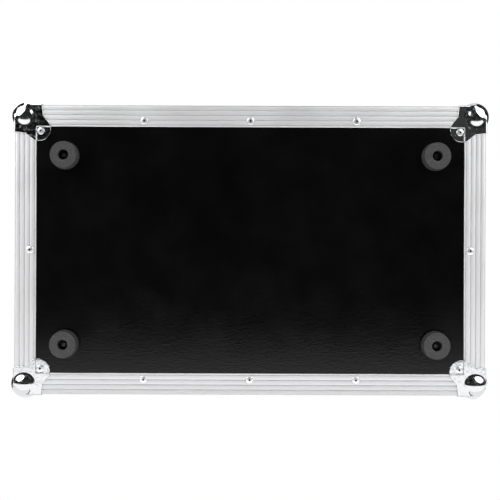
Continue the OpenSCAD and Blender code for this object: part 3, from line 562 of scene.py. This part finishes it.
# Signed distance to a plate's outline on the plane, negative inside
def outlineDistance(u, v):
    leg, reach, past = ballCorner["leg"], ballCorner["lugReach"], ballCorner["past"]
    wider, along = ballCorner["flare"]
    c = reach - ballCorner["lugRadius"]
    neck = c - ballCorner["neck"]
    outline = [(-past, -past), (leg, -past), (leg, 0), (leg + wider, along), (reach, neck),
               (reach, c), (c, reach), (neck, reach), (along, leg + wider), (0, leg), (-past, leg)]
    best = np.full(u.shape, 1e9)
    inside = np.zeros(u.shape, bool)
    for (ax, ay), (bx, by) in zip(outline, outline[1:] + outline[:1]):
        ex, ey = bx - ax, by - ay
        t = np.clip(((u - ax) * ex + (v - ay) * ey) / (ex * ex + ey * ey), 0, 1)
        best = np.minimum(best, (u - ax - t * ex) ** 2 + (v - ay - t * ey) ** 2)
        crosses = ((ay > v) != (by > v)) & (u < (bx - ax) * (v - ay) / ((by - ay) or 1e-9) + ax)
        inside ^= crosses
    best = np.sqrt(best)
    best[inside] *= -1
    lug = np.hypot(u - c, v - c) - ballCorner["lugRadius"]
    return np.minimum(best, lug)


def smoothMin(a, b, width):
    mix = np.clip(width - np.abs(a - b), 0, None) / width
    return np.minimum(a, b) - mix * mix * width * 0.25


# Distance to the pressing, negative in the steel. Each point's three numbers are its depths
# behind the case's two sides and its outer face.
def cornerField(points):
    a, b, c = points
    sheet, radius = case["sheet"], ballCorner["edge"]
    joggle, turn = ballCorner["joggle"], ballCorner["joggleRound"]
    begin, slope = ballCorner["joggleSlope"]

    def level(u, v):                     # depth of the plate's outer face
        over = np.hypot(np.clip(turn - (u - joggle), 0, None),
                        np.clip(turn - (v - joggle), 0, None))
        t = np.clip((turn - over + begin) / slope, 0, 1)
        return -sheet + (ballCorner["lugDepth"] + sheet) * t * t * (3 - 2 * t)

    q = [radius + level(b, c) - a, radius + level(a, c) - b, radius + level(a, b) - c]
    outside = np.sqrt(sum(np.clip(v, 0, None) ** 2 for v in q))
    envelope = outside + np.minimum(np.maximum(np.maximum(q[0], q[1]), q[2]), 0) - radius
    outline = np.minimum(np.minimum(np.maximum(outlineDistance(a, b), c - radius),
                                    np.maximum(outlineDistance(a, c), b - radius)),
                         np.maximum(outlineDistance(b, c), a - radius))
    inset, ballRadius = case["ballInset"], case["ballRadius"] - ballCorner["ballPlay"]
    ball = np.sqrt((a - inset) ** 2 + (b - inset) ** 2 + (c - inset) ** 2)
    far = inset - np.maximum(np.maximum(a, b), c)
    plates = -smoothMin(-envelope, -np.maximum(outline, far), ballCorner["cutRound"])
    tight, wide = ballCorner["blend"]
    blend = tight + (wide - tight) * np.clip(c / ballCorner["blendRise"], 0, 1)
    outer = smoothMin(plates, ball - ballRadius, blend)
    inner = np.minimum(np.maximum(envelope + sheet, far), ball - ballRadius + sheet)
    return np.maximum(outer, -inner)


# Surface of a sampled field: one point in each cell that the surface crosses, joined to quads
def surfaceOf(field, low, cell):
    n = np.array(field.shape) - 1
    sign = field < 0
    shifts = [(i, j, k) for i in (0, 1) for j in (0, 1) for k in (0, 1)]

    def shifted(values, s):
        return values[s[0]:n[0] + s[0], s[1]:n[1] + s[1], s[2]:n[2] + s[2]]

    total = sum(shifted(sign, s).astype(int) for s in shifts)
    active = (total > 0) & (total < 8)
    index = -np.ones(active.shape, int)
    index[active] = np.arange(active.sum())
    place = np.zeros((active.sum(), 3))
    hits = np.zeros(active.sum())
    for s in shifts:
        for axis in range(3):
            if s[axis]:
                continue
            t = list(s)
            t[axis] = 1
            f0, f1 = shifted(field, s)[active], shifted(field, t)[active]
            cut = (f0 < 0) != (f1 < 0)
            share = np.where(cut, f0 / np.where(cut, f0 - f1, 1), 0)
            for d in range(3):
                place[:, d] += np.where(cut, s[d] + (share if d == axis else 0), 0)
            hits += cut
    place /= hits[:, None]
    place += np.argwhere(active)
    faces = []
    for axis in range(3):
        o1, o2 = (axis + 1) % 3, (axis + 2) % 3
        here = [slice(1, n[d]) for d in range(3)]
        here[axis] = slice(0, n[axis])
        ahead = list(here)
        ahead[axis] = slice(1, n[axis] + 1)
        s0, s1 = sign[tuple(here)], sign[tuple(ahead)]
        for where, flip in ((s0 & ~s1, False), (~s0 & s1, True)):
            spot = np.argwhere(where)
            spot[:, o1] += 1
            spot[:, o2] += 1
            quad = []
            for d1, d2 in ((-1, -1), (0, -1), (0, 0), (-1, 0)):
                at = spot.copy()
                at[:, o1] += d1
                at[:, o2] += d2
                quad.append(index[at[:, 0], at[:, 1], at[:, 2]])
            faces.append(np.stack(quad[::-1] if flip else quad, axis=1))
    return low + place * cell, np.concatenate(faces)


# Direction away from the steel at each point, from the field's slope
def fieldNormals(points):
    place = np.array(points).T
    slope = []
    for axis in range(3):
        step = np.zeros((3, 1))
        step[axis] = ballCorner["probe"]
        slope.append(cornerField(place + step) - cornerField(place - step))
    slope = np.array(slope).T
    return slope / np.maximum(np.linalg.norm(slope, axis=1, keepdims=True), 1e-9)


# One pressing is sampled, thinned out and mirrored to the eight corners
def ballCorners():
    cell, (low, high) = ballCorner["cell"], ballCorner["span"]
    line = np.arange(low, high, cell)
    grid = np.meshgrid(line, line, line, indexing="ij")
    points, faces = surfaceOf(cornerField(grid), low, cell)
    pattern = newPiece("ballCornerPattern", points.tolist(), faces.tolist(), chrome, "tray")
    pattern.modifiers.new("fewerFaces", "DECIMATE").ratio = ballCorner["keep"]
    built = pattern.evaluated_get(bpy.context.evaluated_depsgraph_get()).to_mesh()
    points = [tuple(v.co / mm) for v in built.vertices]
    faces = [tuple(p.vertices) for p in built.polygons]
    bpy.data.objects.remove(pattern)
    normals = fieldNormals(points)
    for half, body in (("base", "tray"), ("lid", "lid")):
        for name, (sx, sy) in corners.items():
            node = half + "_ball_corner_" + name
            placed = [(sx * (halfW - a), sy * (halfD - b), heightIn(half, c)) for a, b, c in points]
            mirrored = (sx * sy > 0) != (half == "base")
            wound = [f[::-1] if mirrored else f for f in faces]
            piece = newPiece(node + "_pressing", placed, wound, chrome, body)
            outward = normals * (-sx, -sy, 1 if half == "base" else -1)
            piece.data.normals_split_custom_set_from_vertices([tuple(n) for n in outward])
            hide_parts(node)


ballCorners()
print("ball corners made")


# The posts have the rails' section, upright between the edge rails and the seam
def cornerPosts():
    section = railSection()
    for half, body, height, node in (("base", "tray", case["baseHeight"], "base_corner_posts"),
                                     ("lid", "lid", case["lidHeight"], "lid_corner_posts")):
        low, high = case["railWidth"], height - case["seamFlange"]
        parts, uv, paintedGrooveShade = [], [], []
        for sx, sy in corners.values():
            points, faces, lengths, grooveShadeMask = extrudeAlong(section, lambda n: (high - low) / 2)
            placed = [(sx * (halfW - n), sy * (halfD - u), heightIn(half, c + (low + high) / 2))
                      for c, n, u in points]
            parts.append((placed, faces))
            uv += lengths
            paintedGrooveShade += grooveShadeMask
        points, faces = joined(parts)
        piece = newPiece(node + "_skin", points, faces, ribbedAluminium, body, uv, paintedGrooveShade)
        sharpen(piece, rail["crease"])
        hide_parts(node)


cornerPosts()
print("corner posts made")


rivet = {
    "head": 9.4, "smallHead": 6.4, "rise": 1.55,
    "brim": 0.3,                         # thickness of the head's rim
    "hole": 0.3,                         # share of the head's radius that the pin leaves open
    "sides": (32, 16), "crease": 50,     # of the head and of the pin
    "line": 20.0,                        # from a rail's outer edge to its rivets
    "railX": 137.5,                      # outer rivets of a long rail
    "latchX": 190.0, "latchHalf": 35.5,
    "latchEnds": (9, 6),                 # from the dish's ends at the seam and away from it
    "dish": {"base": 48.0, "lid": 22.0}, # reach of the latch's dish from the seam
    "hingeX": 190.0, "hingeStep": 27.5, "hingeDown": 23, "hingeFace": 0.3,
    "handleHalf": 67.5, "handleMiddle": 59.5, "handleStep": 15.5,
}


# The head as the setting tool leaves it: a dome with a lip round the hole of the broken pin
def rivetShape(head):
    radius, brim = head / 2, rivet["brim"]
    hole = radius * rivet["hole"]
    line = [(0, 0), (radius * 0.98, 0), (radius, -0.15)]
    last = math.acos((hole + 0.3) / radius)
    for i in range(9):
        a = last * i / 8
        line.append((radius * math.cos(a), -brim - (rivet["rise"] - brim) * math.sin(a)))
    crown = line[-1][1]
    line += [(hole + 0.1, crown + 0.02), (hole, crown + 0.14), (hole, -0.2), (0, -0.2)]
    pin = [(0, -0.1), (hole - 0.03, -0.1), (hole - 0.03, -0.55), (hole * 0.6, -0.8), (0, -0.7)]
    return turned(line, rivet["sides"][0]), turned(pin, rivet["sides"][1])


# Each rivet as side, place in the side's frame, whether it runs into the wall, and its head
def rivetSites(half):
    sites = []
    height = case["baseHeight"] if half == "base" else case["lidHeight"]
    lug, small = ballCorner["lugRivet"], rivet["smallHead"]
    onPlate = case["railThick"] - case["sheet"]
    for k in range(4):
        end = (halfW if k % 2 == 0 else halfD) - lug
        for x in ([-rivet["railX"], 0, rivet["railX"]] if k % 2 == 0 else [0]):
            sites.append((k, (x, 0, rivet["line"]), True, rivet["head"]))
            sites.append((k, (x, rivet["line"], 0), False, rivet["head"]))
        for x in (-end, end):
            sites.append((k, (x, onPlate, lug), True, rivet["head"]))
            if k % 2 == 0:
                sites.append((k, (x, lug, onPlate), False, rivet["head"]))
    nearSeam, farEnd = rivet["latchEnds"]
    hingeAt = height - rivet["hingeDown"]
    for side in (-1, 1):
        for x in (-rivet["latchHalf"], rivet["latchHalf"]):
            for down in (nearSeam, rivet["dish"][half] - farEnd):
                sites.append((0, (side * rivet["latchX"] + x, onPlate, height - down), True, small))
        for x in (-rivet["hingeStep"], 0, rivet["hingeStep"]):
            x += side * rivet["hingeX"]
            sites.append((2, (x, rivet["hingeFace"], hingeAt), True, small))
    if half == "base":
        for x in (-rivet["handleHalf"], rivet["handleHalf"]):
            for z in (-rivet["handleStep"], rivet["handleStep"]):
                sites.append((0, (x, onPlate, rivet["handleMiddle"] + z), True, small))
    return sites


def rivets():
    for half, body in (("base", "tray"), ("lid", "lid")):
        heads, pins = [], []
        for k, (x, n, u), into, head in rivetSites(half):
            for found, (points, faces) in zip((heads, pins), rivetShape(head)):
                local = [(x + p[0], n + p[2], u + p[1]) if into else (x + p[0], n + p[1], u + p[2])
                         for p in points]
                found.append((placeOnSide(local, k, half), faces))
        for name, parts, material in (("_heads", heads, rivetAlloy), ("_pins", pins, shadeDarkSteel)):
            points, faces = joined(parts)
            piece = newPiece(half + "_rivet" + name, points, faces, material, body)
            sharpen(piece, rivet["crease"])
            if name == "_heads":
                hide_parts(half + "_rivets")


rivets()
print("rivets made")


rubberFoot = {
    "x": 240.0, "y": 122.0, "height": 15.0,
    "across": 36.5, "face": 32.4, "well": 13.2, "bore": 4.6,
    "floor": 4.0,                        # rubber left under the washer
    "band": (0.9, 1.1, 0.12),            # at the panel: its height, and the step below it
    "rim": 0.8,                          # radius round the face
    "sides": 72, "crease": 60,
}


# A drafted moulding with a rounded rim, and a well down to the washer's seat
def rubberFeet():
    high, floorAt = rubberFoot["height"], rubberFoot["height"] - rubberFoot["floor"]
    outer, face, rim = rubberFoot["across"] / 2, rubberFoot["face"] / 2, rubberFoot["rim"]
    well, bore = rubberFoot["well"] / 2, rubberFoot["bore"] / 2
    band, under, step = rubberFoot["band"]
    line = [(bore, high), (outer, high), (outer, high - band), (outer - step, high - under),
            (face + 1.2, rim + 0.9)]
    for i in range(8):
        a = math.radians(82 - i * 82 / 7)
        line.append((face + 1.1 - rim + rim * math.sin(a), rim - rim * math.cos(a)))
    line += [(face - 2.2, 0.0), (well + 2.0, 0.0), (well + 0.35, 0.0), (well + 0.1, 0.1),
             (well, 0.35), (well, floorAt - 0.6), (well - 0.6, floorAt), (bore, floorAt),
             (bore, high)]
    for name, (sx, sy) in corners.items():
        points, faces = turned(line, rubberFoot["sides"])
        placed = [(x + sx * rubberFoot["x"], y + sy * rubberFoot["y"], z) for x, y, z in points]
        piece = newPiece("rubber_foot_" + name + "_moulding", placed, faces, footRubber, "tray")
        sharpen(piece, rubberFoot["crease"])
        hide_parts("rubber_foot_" + name)


rubberFeet()
print("feet made")


grip = {
    "across": 11.6, "bow": 6.1, "half": 39.0,
    "depth": 7.5, "height": 50.5,        # of its axis: in from the rails' face, and up
    "rings": 5, "ringStep": 3.1,
    "ringStart": 2.2,                    # from the grip's end
    "ring": [(0.05, 0.35), (0, 0.8), (0.05, 1.25), (0.55, 1.75), (0.6, 2.2),
             (0.55, 2.65)],              # in from the full radius, and along
    "waist": (0.6, 0.55),                # in at the rings, and back out again in the middle
    "sides": 40, "crease": 55,
}


# Barrel-shaped, with raised rings at both ends where the fingers stop
def handleGrip():
    radius, bore, half = grip["across"] / 2, grip["bow"] / 2, grip["half"]
    drawnIn, swell = grip["waist"]
    start = half - 2.5 - grip["rings"] * grip["ringStep"]
    side = [(bore, half), (bore + 0.9, half), (radius - 0.9, half - 0.5),
            (radius - 0.35, half - 1.4)]
    for i in range(grip["rings"]):
        top = half - grip["ringStart"] - i * grip["ringStep"]
        side += [(radius - within, top - along) for within, along in grip["ring"]]
    side += [(radius - drawnIn + swell * math.cos(math.pi * t / 2 / start) ** 0.5, t)
             for t in np.linspace(start - 1.0, 0, 9)]
    line = side + [(r, -t) for r, t in side[-2::-1]] + [(bore, half)]
    points, faces = turned(line, grip["sides"])
    local = [(z, grip["depth"] + x, grip["height"] + y) for x, y, z in points]
    placed = placeOnSide(local, 0, "base")
    piece = newPiece("handle_grip_moulding", placed, faces, gripRubber, "handle")
    sharpen(piece, grip["crease"])
    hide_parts("handle_grip")


handleGrip()
print("handle grip made")


lining = {
    "foamThick": 22.0, "foamValley": 10.0, "foamPitch": 38.0,
    "foamInset": 9.3, "foamCorner": 4.0, "foamStep": 3.2,
    "pegFullness": 0.85,                 # below 1 the pegs are blunter than a plain wave
    "foamEdge": 2.4, "matEdge": 1.4,     # radius that a cut edge slumps to
    "wallThick": 5.0, "wallTop": 94.0,   # above the tray's underside
    "wallEdge": 1.3, "glue": 0.01,
    "latchCut": (34.0, 50.0),            # half width round a latch, and depth below the seam
    "handleCut": (66.0, 25.5),           # half width and half height round the handle
    "matThick": 3.0, "matInset": 14.8, "matCorner": 6.0, "matStep": 8.0,
    "slabCrease": 75, "wallCrease": 30,
}


# A soft slab on a grid: the top follows heightAt and rolls over at the edge. The corners are
# rounded by drawing the square rings of the grid in to arcs.
def softSlab(width, depth, corner, step, edge, heightAt):
    def stations(size):
        inner = list(np.linspace(-size / 2 + edge, size / 2 - edge, max(3, round(size / step)) + 1))
        ends = [edge * (1 - math.cos(math.radians(a))) for a in (0, 30, 60)]
        return [-size / 2 + e for e in ends] + inner + [size / 2 - e for e in ends[::-1]]

    xs, ys = stations(width), stations(depth)
    cx, cy = width / 2 - corner, depth / 2 - corner
    points, faces = [], []
    for x in xs:
        for y in ys:
            near = min(width / 2 - abs(x), depth / 2 - abs(y))
            drop = edge - math.sqrt(edge ** 2 - (edge - near) ** 2) if near < edge else 0
            px, py = x, y
            if abs(x) > cx and abs(y) > cy:
                ox, oy = abs(x) - cx, abs(y) - cy
                pull = max(ox, oy) / math.hypot(ox, oy)
                px = math.copysign(cx + ox * pull, x)
                py = math.copysign(cy + oy * pull, y)
            points.append((px, py, max(0.2, heightAt(x, y) - drop)))
    rows, columns = len(xs), len(ys)
    for i in range(rows - 1):
        for j in range(columns - 1):
            a = i * columns + j
            faces.append((a, a + columns, a + columns + 1, a + 1))
    ring = [i * columns for i in range(rows)]
    ring += [(rows - 1) * columns + j for j in range(1, columns)]
    ring += [i * columns + columns - 1 for i in range(rows - 2, -1, -1)]
    ring += list(range(columns - 2, 0, -1))
    start, count = len(points), len(ring)
    points += [(points[i][0], points[i][1], 0.0) for i in ring]
    for i in range(count):
        j = (i + 1) % count
        faces.append((ring[i], start + i, start + j, ring[j]))
    faces.append(tuple(range(start, start + count)))
    return points, faces


# Egg-crate foam in the lid, its pegs pointing down
def lidFoam():
    thick, pitch, inset = lining["foamThick"], lining["foamPitch"], lining["foamInset"]
    swing = (thick - lining["foamValley"]) / 2
    width, depth = case["width"] - 2 * inset, case["depth"] - 2 * inset
    nx, ny = round(width / pitch * 2), round(depth / pitch * 2)

    def heightAt(x, y):
        wave = (math.cos(math.pi * nx * (x / width + 0.5))
                * math.cos(math.pi * ny * (y / depth + 0.5)))
        return thick - swing + swing * math.copysign(abs(wave) ** lining["pegFullness"], wave)

    points, faces = softSlab(width, depth, lining["foamCorner"], lining["foamStep"],
                             lining["foamEdge"], heightAt)
    placed = [(x, y, case["top"] - wallIn - z) for x, y, z in points]
    piece = newPiece("lid_egg_crate_foam", placed, faces, foam, "lid")
    sharpen(piece, lining["slabCrease"])
    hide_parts("lid_foam")


# A mat that lies a little unevenly, as glued carpet does
def floorMat():
    inset, thick = lining["matInset"], lining["matThick"]
    width, depth = case["width"] - 2 * inset, case["depth"] - 2 * inset

    def heightAt(x, y):
        broad = 0.12 * math.sin(x / 41) * math.cos(y / 33)
        return thick - 0.25 + broad + 0.1 * math.sin(x / 17 + y / 23)

    points, faces = softSlab(width, depth, lining["matCorner"], lining["matStep"],
                             lining["matEdge"], heightAt)
    placed = [(x, y, case["bottom"] + wallIn + z) for x, y, z in points]
    piece = newPiece("loop_pile_mat", placed, faces, carpet, "tray")
    sharpen(piece, lining["slabCrease"])
    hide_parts("floor_mat")


# One foam sheet as a grid of blocks between its cuts, with the blocks in a hole left out. Its
# points are in the side's frame.
def wallSheet(reach, low, high, holes):
    near, far = wallIn + lining["glue"], wallIn + lining["wallThick"]
    xs = sorted({-reach, reach} | {c for hole in holes for c in hole[:2]})
    us = sorted({low, high} | {c for hole in holes for c in hole[2:]})
    index, points, faces = {}, [], []

    def corner(x, u, n):
        if (x, u, n) not in index:
            index[(x, u, n)] = len(points)
            points.append((x, n, u))
        return index[(x, u, n)]

    def kept(i, j):
        if not (0 <= i < len(xs) - 1 and 0 <= j < len(us) - 1):
            return False
        x, u = (xs[i] + xs[i + 1]) / 2, (us[j] + us[j + 1]) / 2
        return not any(h[0] < x < h[1] and h[2] < u < h[3] for h in holes)

    for i in range(len(xs) - 1):
        for j in range(len(us) - 1):
            if not kept(i, j):
                continue
            x0, x1, u0, u1 = xs[i], xs[i + 1], us[j], us[j + 1]
            for n in (near, far):
                faces.append([corner(x, u, n) for x, u in ((x0, u0), (x1, u0), (x1, u1), (x0, u1))])
            for di, dj, (p, q) in ((-1, 0, ((x0, u0), (x0, u1))), (1, 0, ((x1, u0), (x1, u1))),
                                   (0, -1, ((x0, u0), (x1, u0))), (0, 1, ((x0, u1), (x1, u1)))):
                if not kept(i + di, j + dj):
                    faces.append([corner(*p, near), corner(*q, near), corner(*q, far),
                                  corner(*p, far)])
    return points, faces


# Foam sheets glued to the tray's walls, cut out round the latches and the handle
def wallLining():
    low, high = wallIn, lining["wallTop"]
    (latchHalf, latchDown), (handleHalf, handleUp) = lining["latchCut"], lining["handleCut"]
    left, right = rivet["latchX"] - latchHalf, rivet["latchX"] + latchHalf
    under, middle = case["baseHeight"] - latchDown, rivet["handleMiddle"]
    holes = [(left, right, under, high), (-right, -left, under, high),
             (-handleHalf, handleHalf, middle - handleUp, middle + handleUp)]
    parts = []
    for k in range(4):
        reach = halfW - wallIn if k % 2 == 0 else halfD - wallIn - lining["wallThick"]
        points, faces = wallSheet(reach, low, high, holes if k == 0 else [])
        parts.append((placeOnSide(points, k, "base"), faces))
    points, faces = joined(parts)
    piece = newPiece("tray_wall_foam", points, faces, foam, "tray")
    sharpen(piece, lining["wallCrease"])
    soft = piece.modifiers.new("slumpedEdges", "BEVEL")
    soft.width, soft.segments, soft.limit_method = lining["wallEdge"] * mm, 4, "ANGLE"
    soft.harden_normals = True
    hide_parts("base_lining")


lidFoam()
floorMat()
wallLining()
print("lining made")


# The frame's own pieces: the finish of those whose name holds a word, the rest being zinc plated,
# and the radius in mm that a pressing, casting or saw cut leaves on their edges
framePieces = {
    "finish": {"panel": laminate, "posts": ribbedAluminium, "rail": ribbedAluminium,
               "seam": levelAluminium, "ball_corner": chrome, "foot_washers": shadeDarkSteel,
               "foot_screws": rubbedShadeDarkSteel},
    "edge": {"panel": 0.3, "seam": 0.12, "latch_dish": 0.5, "keeper_dish": 0.5, "latch_plates": 0.3,
             "latch_hook": 0.35, "latch_rotor": 0.25, "latch_wing": 0.6, "handle_dish": 0.5,
             "hinge": 0.25, "foot_washers": 0.15, "foot_screws": 0.1},
    "weld": 0.002, "bevelFrom": 28,      # degrees that an edge turns by
}


def dressFrame():
    for name, node in nodes.items():
        finish = next((f for word, f in framePieces["finish"].items() if word in name), zinc)
        for slot in node.material_slots:
            slot.material = finish
        radius = next((r for word, r in framePieces["edge"].items() if word in name), None)
        if radius:
            weld = node.modifiers.new("oneSkin", "WELD")
            weld.merge_threshold = framePieces["weld"] * mm
            soft = node.modifiers.new("brokenEdges", "BEVEL")
            soft.width, soft.segments, soft.limit_method = radius * mm, 3, "ANGLE"
            soft.angle_limit = math.radians(framePieces["bevelFrom"])
            soft.use_clamp_overlap = True
            soft.harden_normals = True


dressFrame()
print("frame dressed")


# Lengths in metres. Where the white and the dim room lie is given by a direction's x, y and z.
stage = {
    "floor": "#e9e9e8", "floorSize": 40.0, "floorGap": 0.2 * mm,
    "distance": 1.270,                   # camera to the case's underside
    "width": 0.6469,                     # seen across the picture at that distance
    "roll": 0.22,                        # degrees
    "offset": (-0.0001, -0.0005),
    "room": (0.003, 0.06),               # darkest and palest parts of the dim room below
    "behind": (1.3, 0.25, 0.35, 0.9),    # white behind the case: slope, edges, strength
    "past": (0.24, 0.32, 1.06),          # white past the rear edge: from and to y, strength
    "pastSlope": (0.9, 0.0, 0.05),       # its lower bound in z: slope over y, edges
    "horizon": (-0.08, -0.04),           # z that the white seen below the floor ends between
    "fillBelow": 0.35, "fillAbove": 0.6, "mirrorAbove": 0.75, "backdrop": 0.49,
}

# Below the floor, a white table just past the rear edge and two softboxes past the front corners
# light the underside; the other two light the rest
lamps = {
    "tableBounce": {"place": (0, 0.203, -0.265), "aim": (0, -1, -0.265), "size": (2.4, 0.51),
                    "power": 4.8, "shape": "RECTANGLE"},
    "belowLeft": {"place": (-0.86, -0.69, -0.5), "aim": (0, 0, 0), "size": (1.35, 1.06),
                  "power": 11.4, "shape": "ELLIPSE"},
    "belowRight": {"place": (0.86, -0.69, -0.5), "aim": (0, 0, 0), "size": (1.35, 1.06),
                   "power": 11.4, "shape": "ELLIPSE"},
    "aboveKey": {"place": (-1.1, -1.3, 1.9), "aim": (0, 0, 0.1), "size": (1.3, 1.3),
                 "power": 22, "shape": "RECTANGLE"},
    "aboveFill": {"place": (1.6, 0.9, 1.6), "aim": (0, 0, 0.1), "size": (1.3, 1.3),
                  "power": 10, "shape": "RECTANGLE"},
}


# The floor is there from above only: what has come up through it, and so sees the case from
# below, no longer meets it
def makeFloor():
    size, low = stage["floorSize"] / 2, -stage["floorGap"]
    mesh = bpy.data.meshes.new("floor")
    mesh.from_pydata([(x * size, y * size, low) for x, y in ((-1, -1), (1, -1), (1, 1), (-1, 1))],
                     [], [(0, 1, 2, 3)])
    material, tree = newMaterial("paleStudioFloor")
    shader = addNode(tree, "BsdfPrincipled", {
        "Base Color": hexColour(stage["floor"]), "Roughness": 0.8})
    back = addNode(tree, "NewGeometry").outputs["Backfacing"]
    through = addNode(tree, "LightPath").outputs["Transparent Depth"]
    gone = addNode(tree, "Math", {0: back, 1: through}, operation="ADD", use_clamp=True)
    mixed = addNode(tree, "MixShader", {0: gone, 1: shader, 2: addNode(tree, "BsdfTransparent")})
    addNode(tree, "OutputMaterial", {"Surface": mixed})
    mesh.materials.append(material)
    floor = bpy.data.objects.new("floor", mesh)
    bpy.context.scene.collection.objects.link(floor)


def makeLamps():
    for name, values in lamps.items():
        lamp = bpy.data.lights.new(name, "AREA")
        lamp.shape, lamp.energy = values["shape"], values["power"]
        lamp.size, lamp.size_y = values["size"]
        light = bpy.data.objects.new(name, lamp)
        light.location = values["place"]
        facing = Vector(values["aim"]) - Vector(values["place"])
        light.rotation_euler = facing.to_track_quat("-Z", "Y").to_euler()
        light.visible_camera = False
        bpy.context.scene.collection.objects.link(light)


# White all round, for the camera and in the metal. Seen from below through the floor, the metal
# has a dim room round the camera instead, and the white behind the case and past its rear edge.
def makeWorld():
    world = bpy.data.worlds.new("studio")
    bpy.context.scene.world = world
    world.use_nodes = True
    tree = world.node_tree
    tree.nodes.clear()
    place = addNode(tree, "TexCoord").outputs["Generated"]
    parts = addNode(tree, "SeparateXYZ", {"Vector": place})
    x, y, z = (parts.outputs[i] for i in range(3))
    ray = addNode(tree, "LightPath")
    fromBelow = ray.outputs["Transparent Depth"]

    # what the metal mirrors from below: a cluttered dim room, with white behind and past the case
    clutter = addNode(tree, "TexNoise", {
        "Vector": place, "Scale": 7.0, "Detail": 4.0, "Roughness": 0.6})
    dim, pale = stage["room"]
    room = addNode(tree, "MapRange", {0: clutter, 1: 0.42, 2: 0.68, 3: dim, 4: pale})
    slope, low, high, strength = stage["behind"]
    behind = addNode(tree, "Math", {0: x}, operation="ABSOLUTE")
    behind = addNode(tree, "Math", {0: behind, 1: -slope, 2: z}, operation="MULTIPLY_ADD")
    behind = addNode(tree, "MapRange", {0: behind, 1: low, 2: high, 3: 0.0, 4: strength})
    slope, low, high = stage["pastSlope"]
    beside = addNode(tree, "Math", {0: y, 1: slope, 2: z}, operation="MULTIPLY_ADD")
    beside = addNode(tree, "MapRange", {0: beside, 1: low, 2: high, 3: 0.0, 4: 1.0})
    low, high, strength = stage["past"]
    past = addNode(tree, "MapRange", {0: y, 1: low, 2: high, 3: 0.0, 4: strength})
    past = addNode(tree, "Math", {0: past, 1: beside}, operation="MULTIPLY")
    white = addNode(tree, "Math", {0: behind, 1: past}, operation="MAXIMUM")
    mirrored = addNode(tree, "Math", {0: room, 1: white}, operation="MAXIMUM")

    # strength on the object, below and above the floor
    shiny = addNode(tree, "Math", {
        0: ray.outputs["Is Glossy Ray"], 1: ray.outputs["Is Transmission Ray"]},
        operation="MAXIMUM")
    under = addNode(tree, "Mix", {0: shiny, 2: stage["fillBelow"], 3: mirrored}, data_type="FLOAT")
    over = addNode(tree, "Mix", {0: shiny, 2: stage["fillAbove"], 3: stage["mirrorAbove"]},
                   data_type="FLOAT")
    level = addNode(tree, "Mix", {0: fromBelow, 2: over, 3: under}, data_type="FLOAT",
                    clamp_factor=True)

    # strength that the camera sees
    low, high = stage["horizon"]
    lower = addNode(tree, "MapRange", {0: z, 1: low, 2: high, 3: 1.0, 4: 0.0})
    below = addNode(tree, "Math", {0: fromBelow, 1: lower}, operation="MAXIMUM")
    seen = addNode(tree, "Mix", {0: below, 2: stage["backdrop"], 3: 1.0}, data_type="FLOAT",
                   clamp_factor=True)
    shown = addNode(tree, "Mix", {0: ray.outputs["Is Camera Ray"], 2: level, 3: seen},
                    data_type="FLOAT")
    light = addNode(tree, "Background", {"Color": (1, 1, 1, 1), "Strength": shown})
    addNode(tree, "OutputWorld", {"Surface": light})


# Looks straight up at the underside, with the front edge at the top of the picture
def makeCamera():
    camera = bpy.data.cameras.new("camera")
    camera.sensor_width = 36.0
    camera.lens = 18.0 / (stage["width"] / 2 / stage["distance"])
    camera.clip_start, camera.clip_end = 0.05, 20
    seat = bpy.data.objects.new("camera", camera)
    bpy.context.scene.collection.objects.link(seat)
    x, y = stage["offset"]
    right, up, back = Vector((1, 0, 0)), Vector((0, -1, 0)), Vector((0, 0, -1))
    roll = Matrix.Rotation(math.radians(stage["roll"]), 3, "Z")
    turn = Matrix((right, up, back)).transposed() @ roll
    place = Matrix.Translation((x, y, case["bottom"] * mm - stage["distance"]))
    seat.matrix_world = place @ turn.to_4x4()
    bpy.context.scene.camera = seat


makeFloor()
makeWorld()
makeCamera()
makeLamps()
bpy.context.scene.view_settings.view_transform = "Standard"
print("stage set")
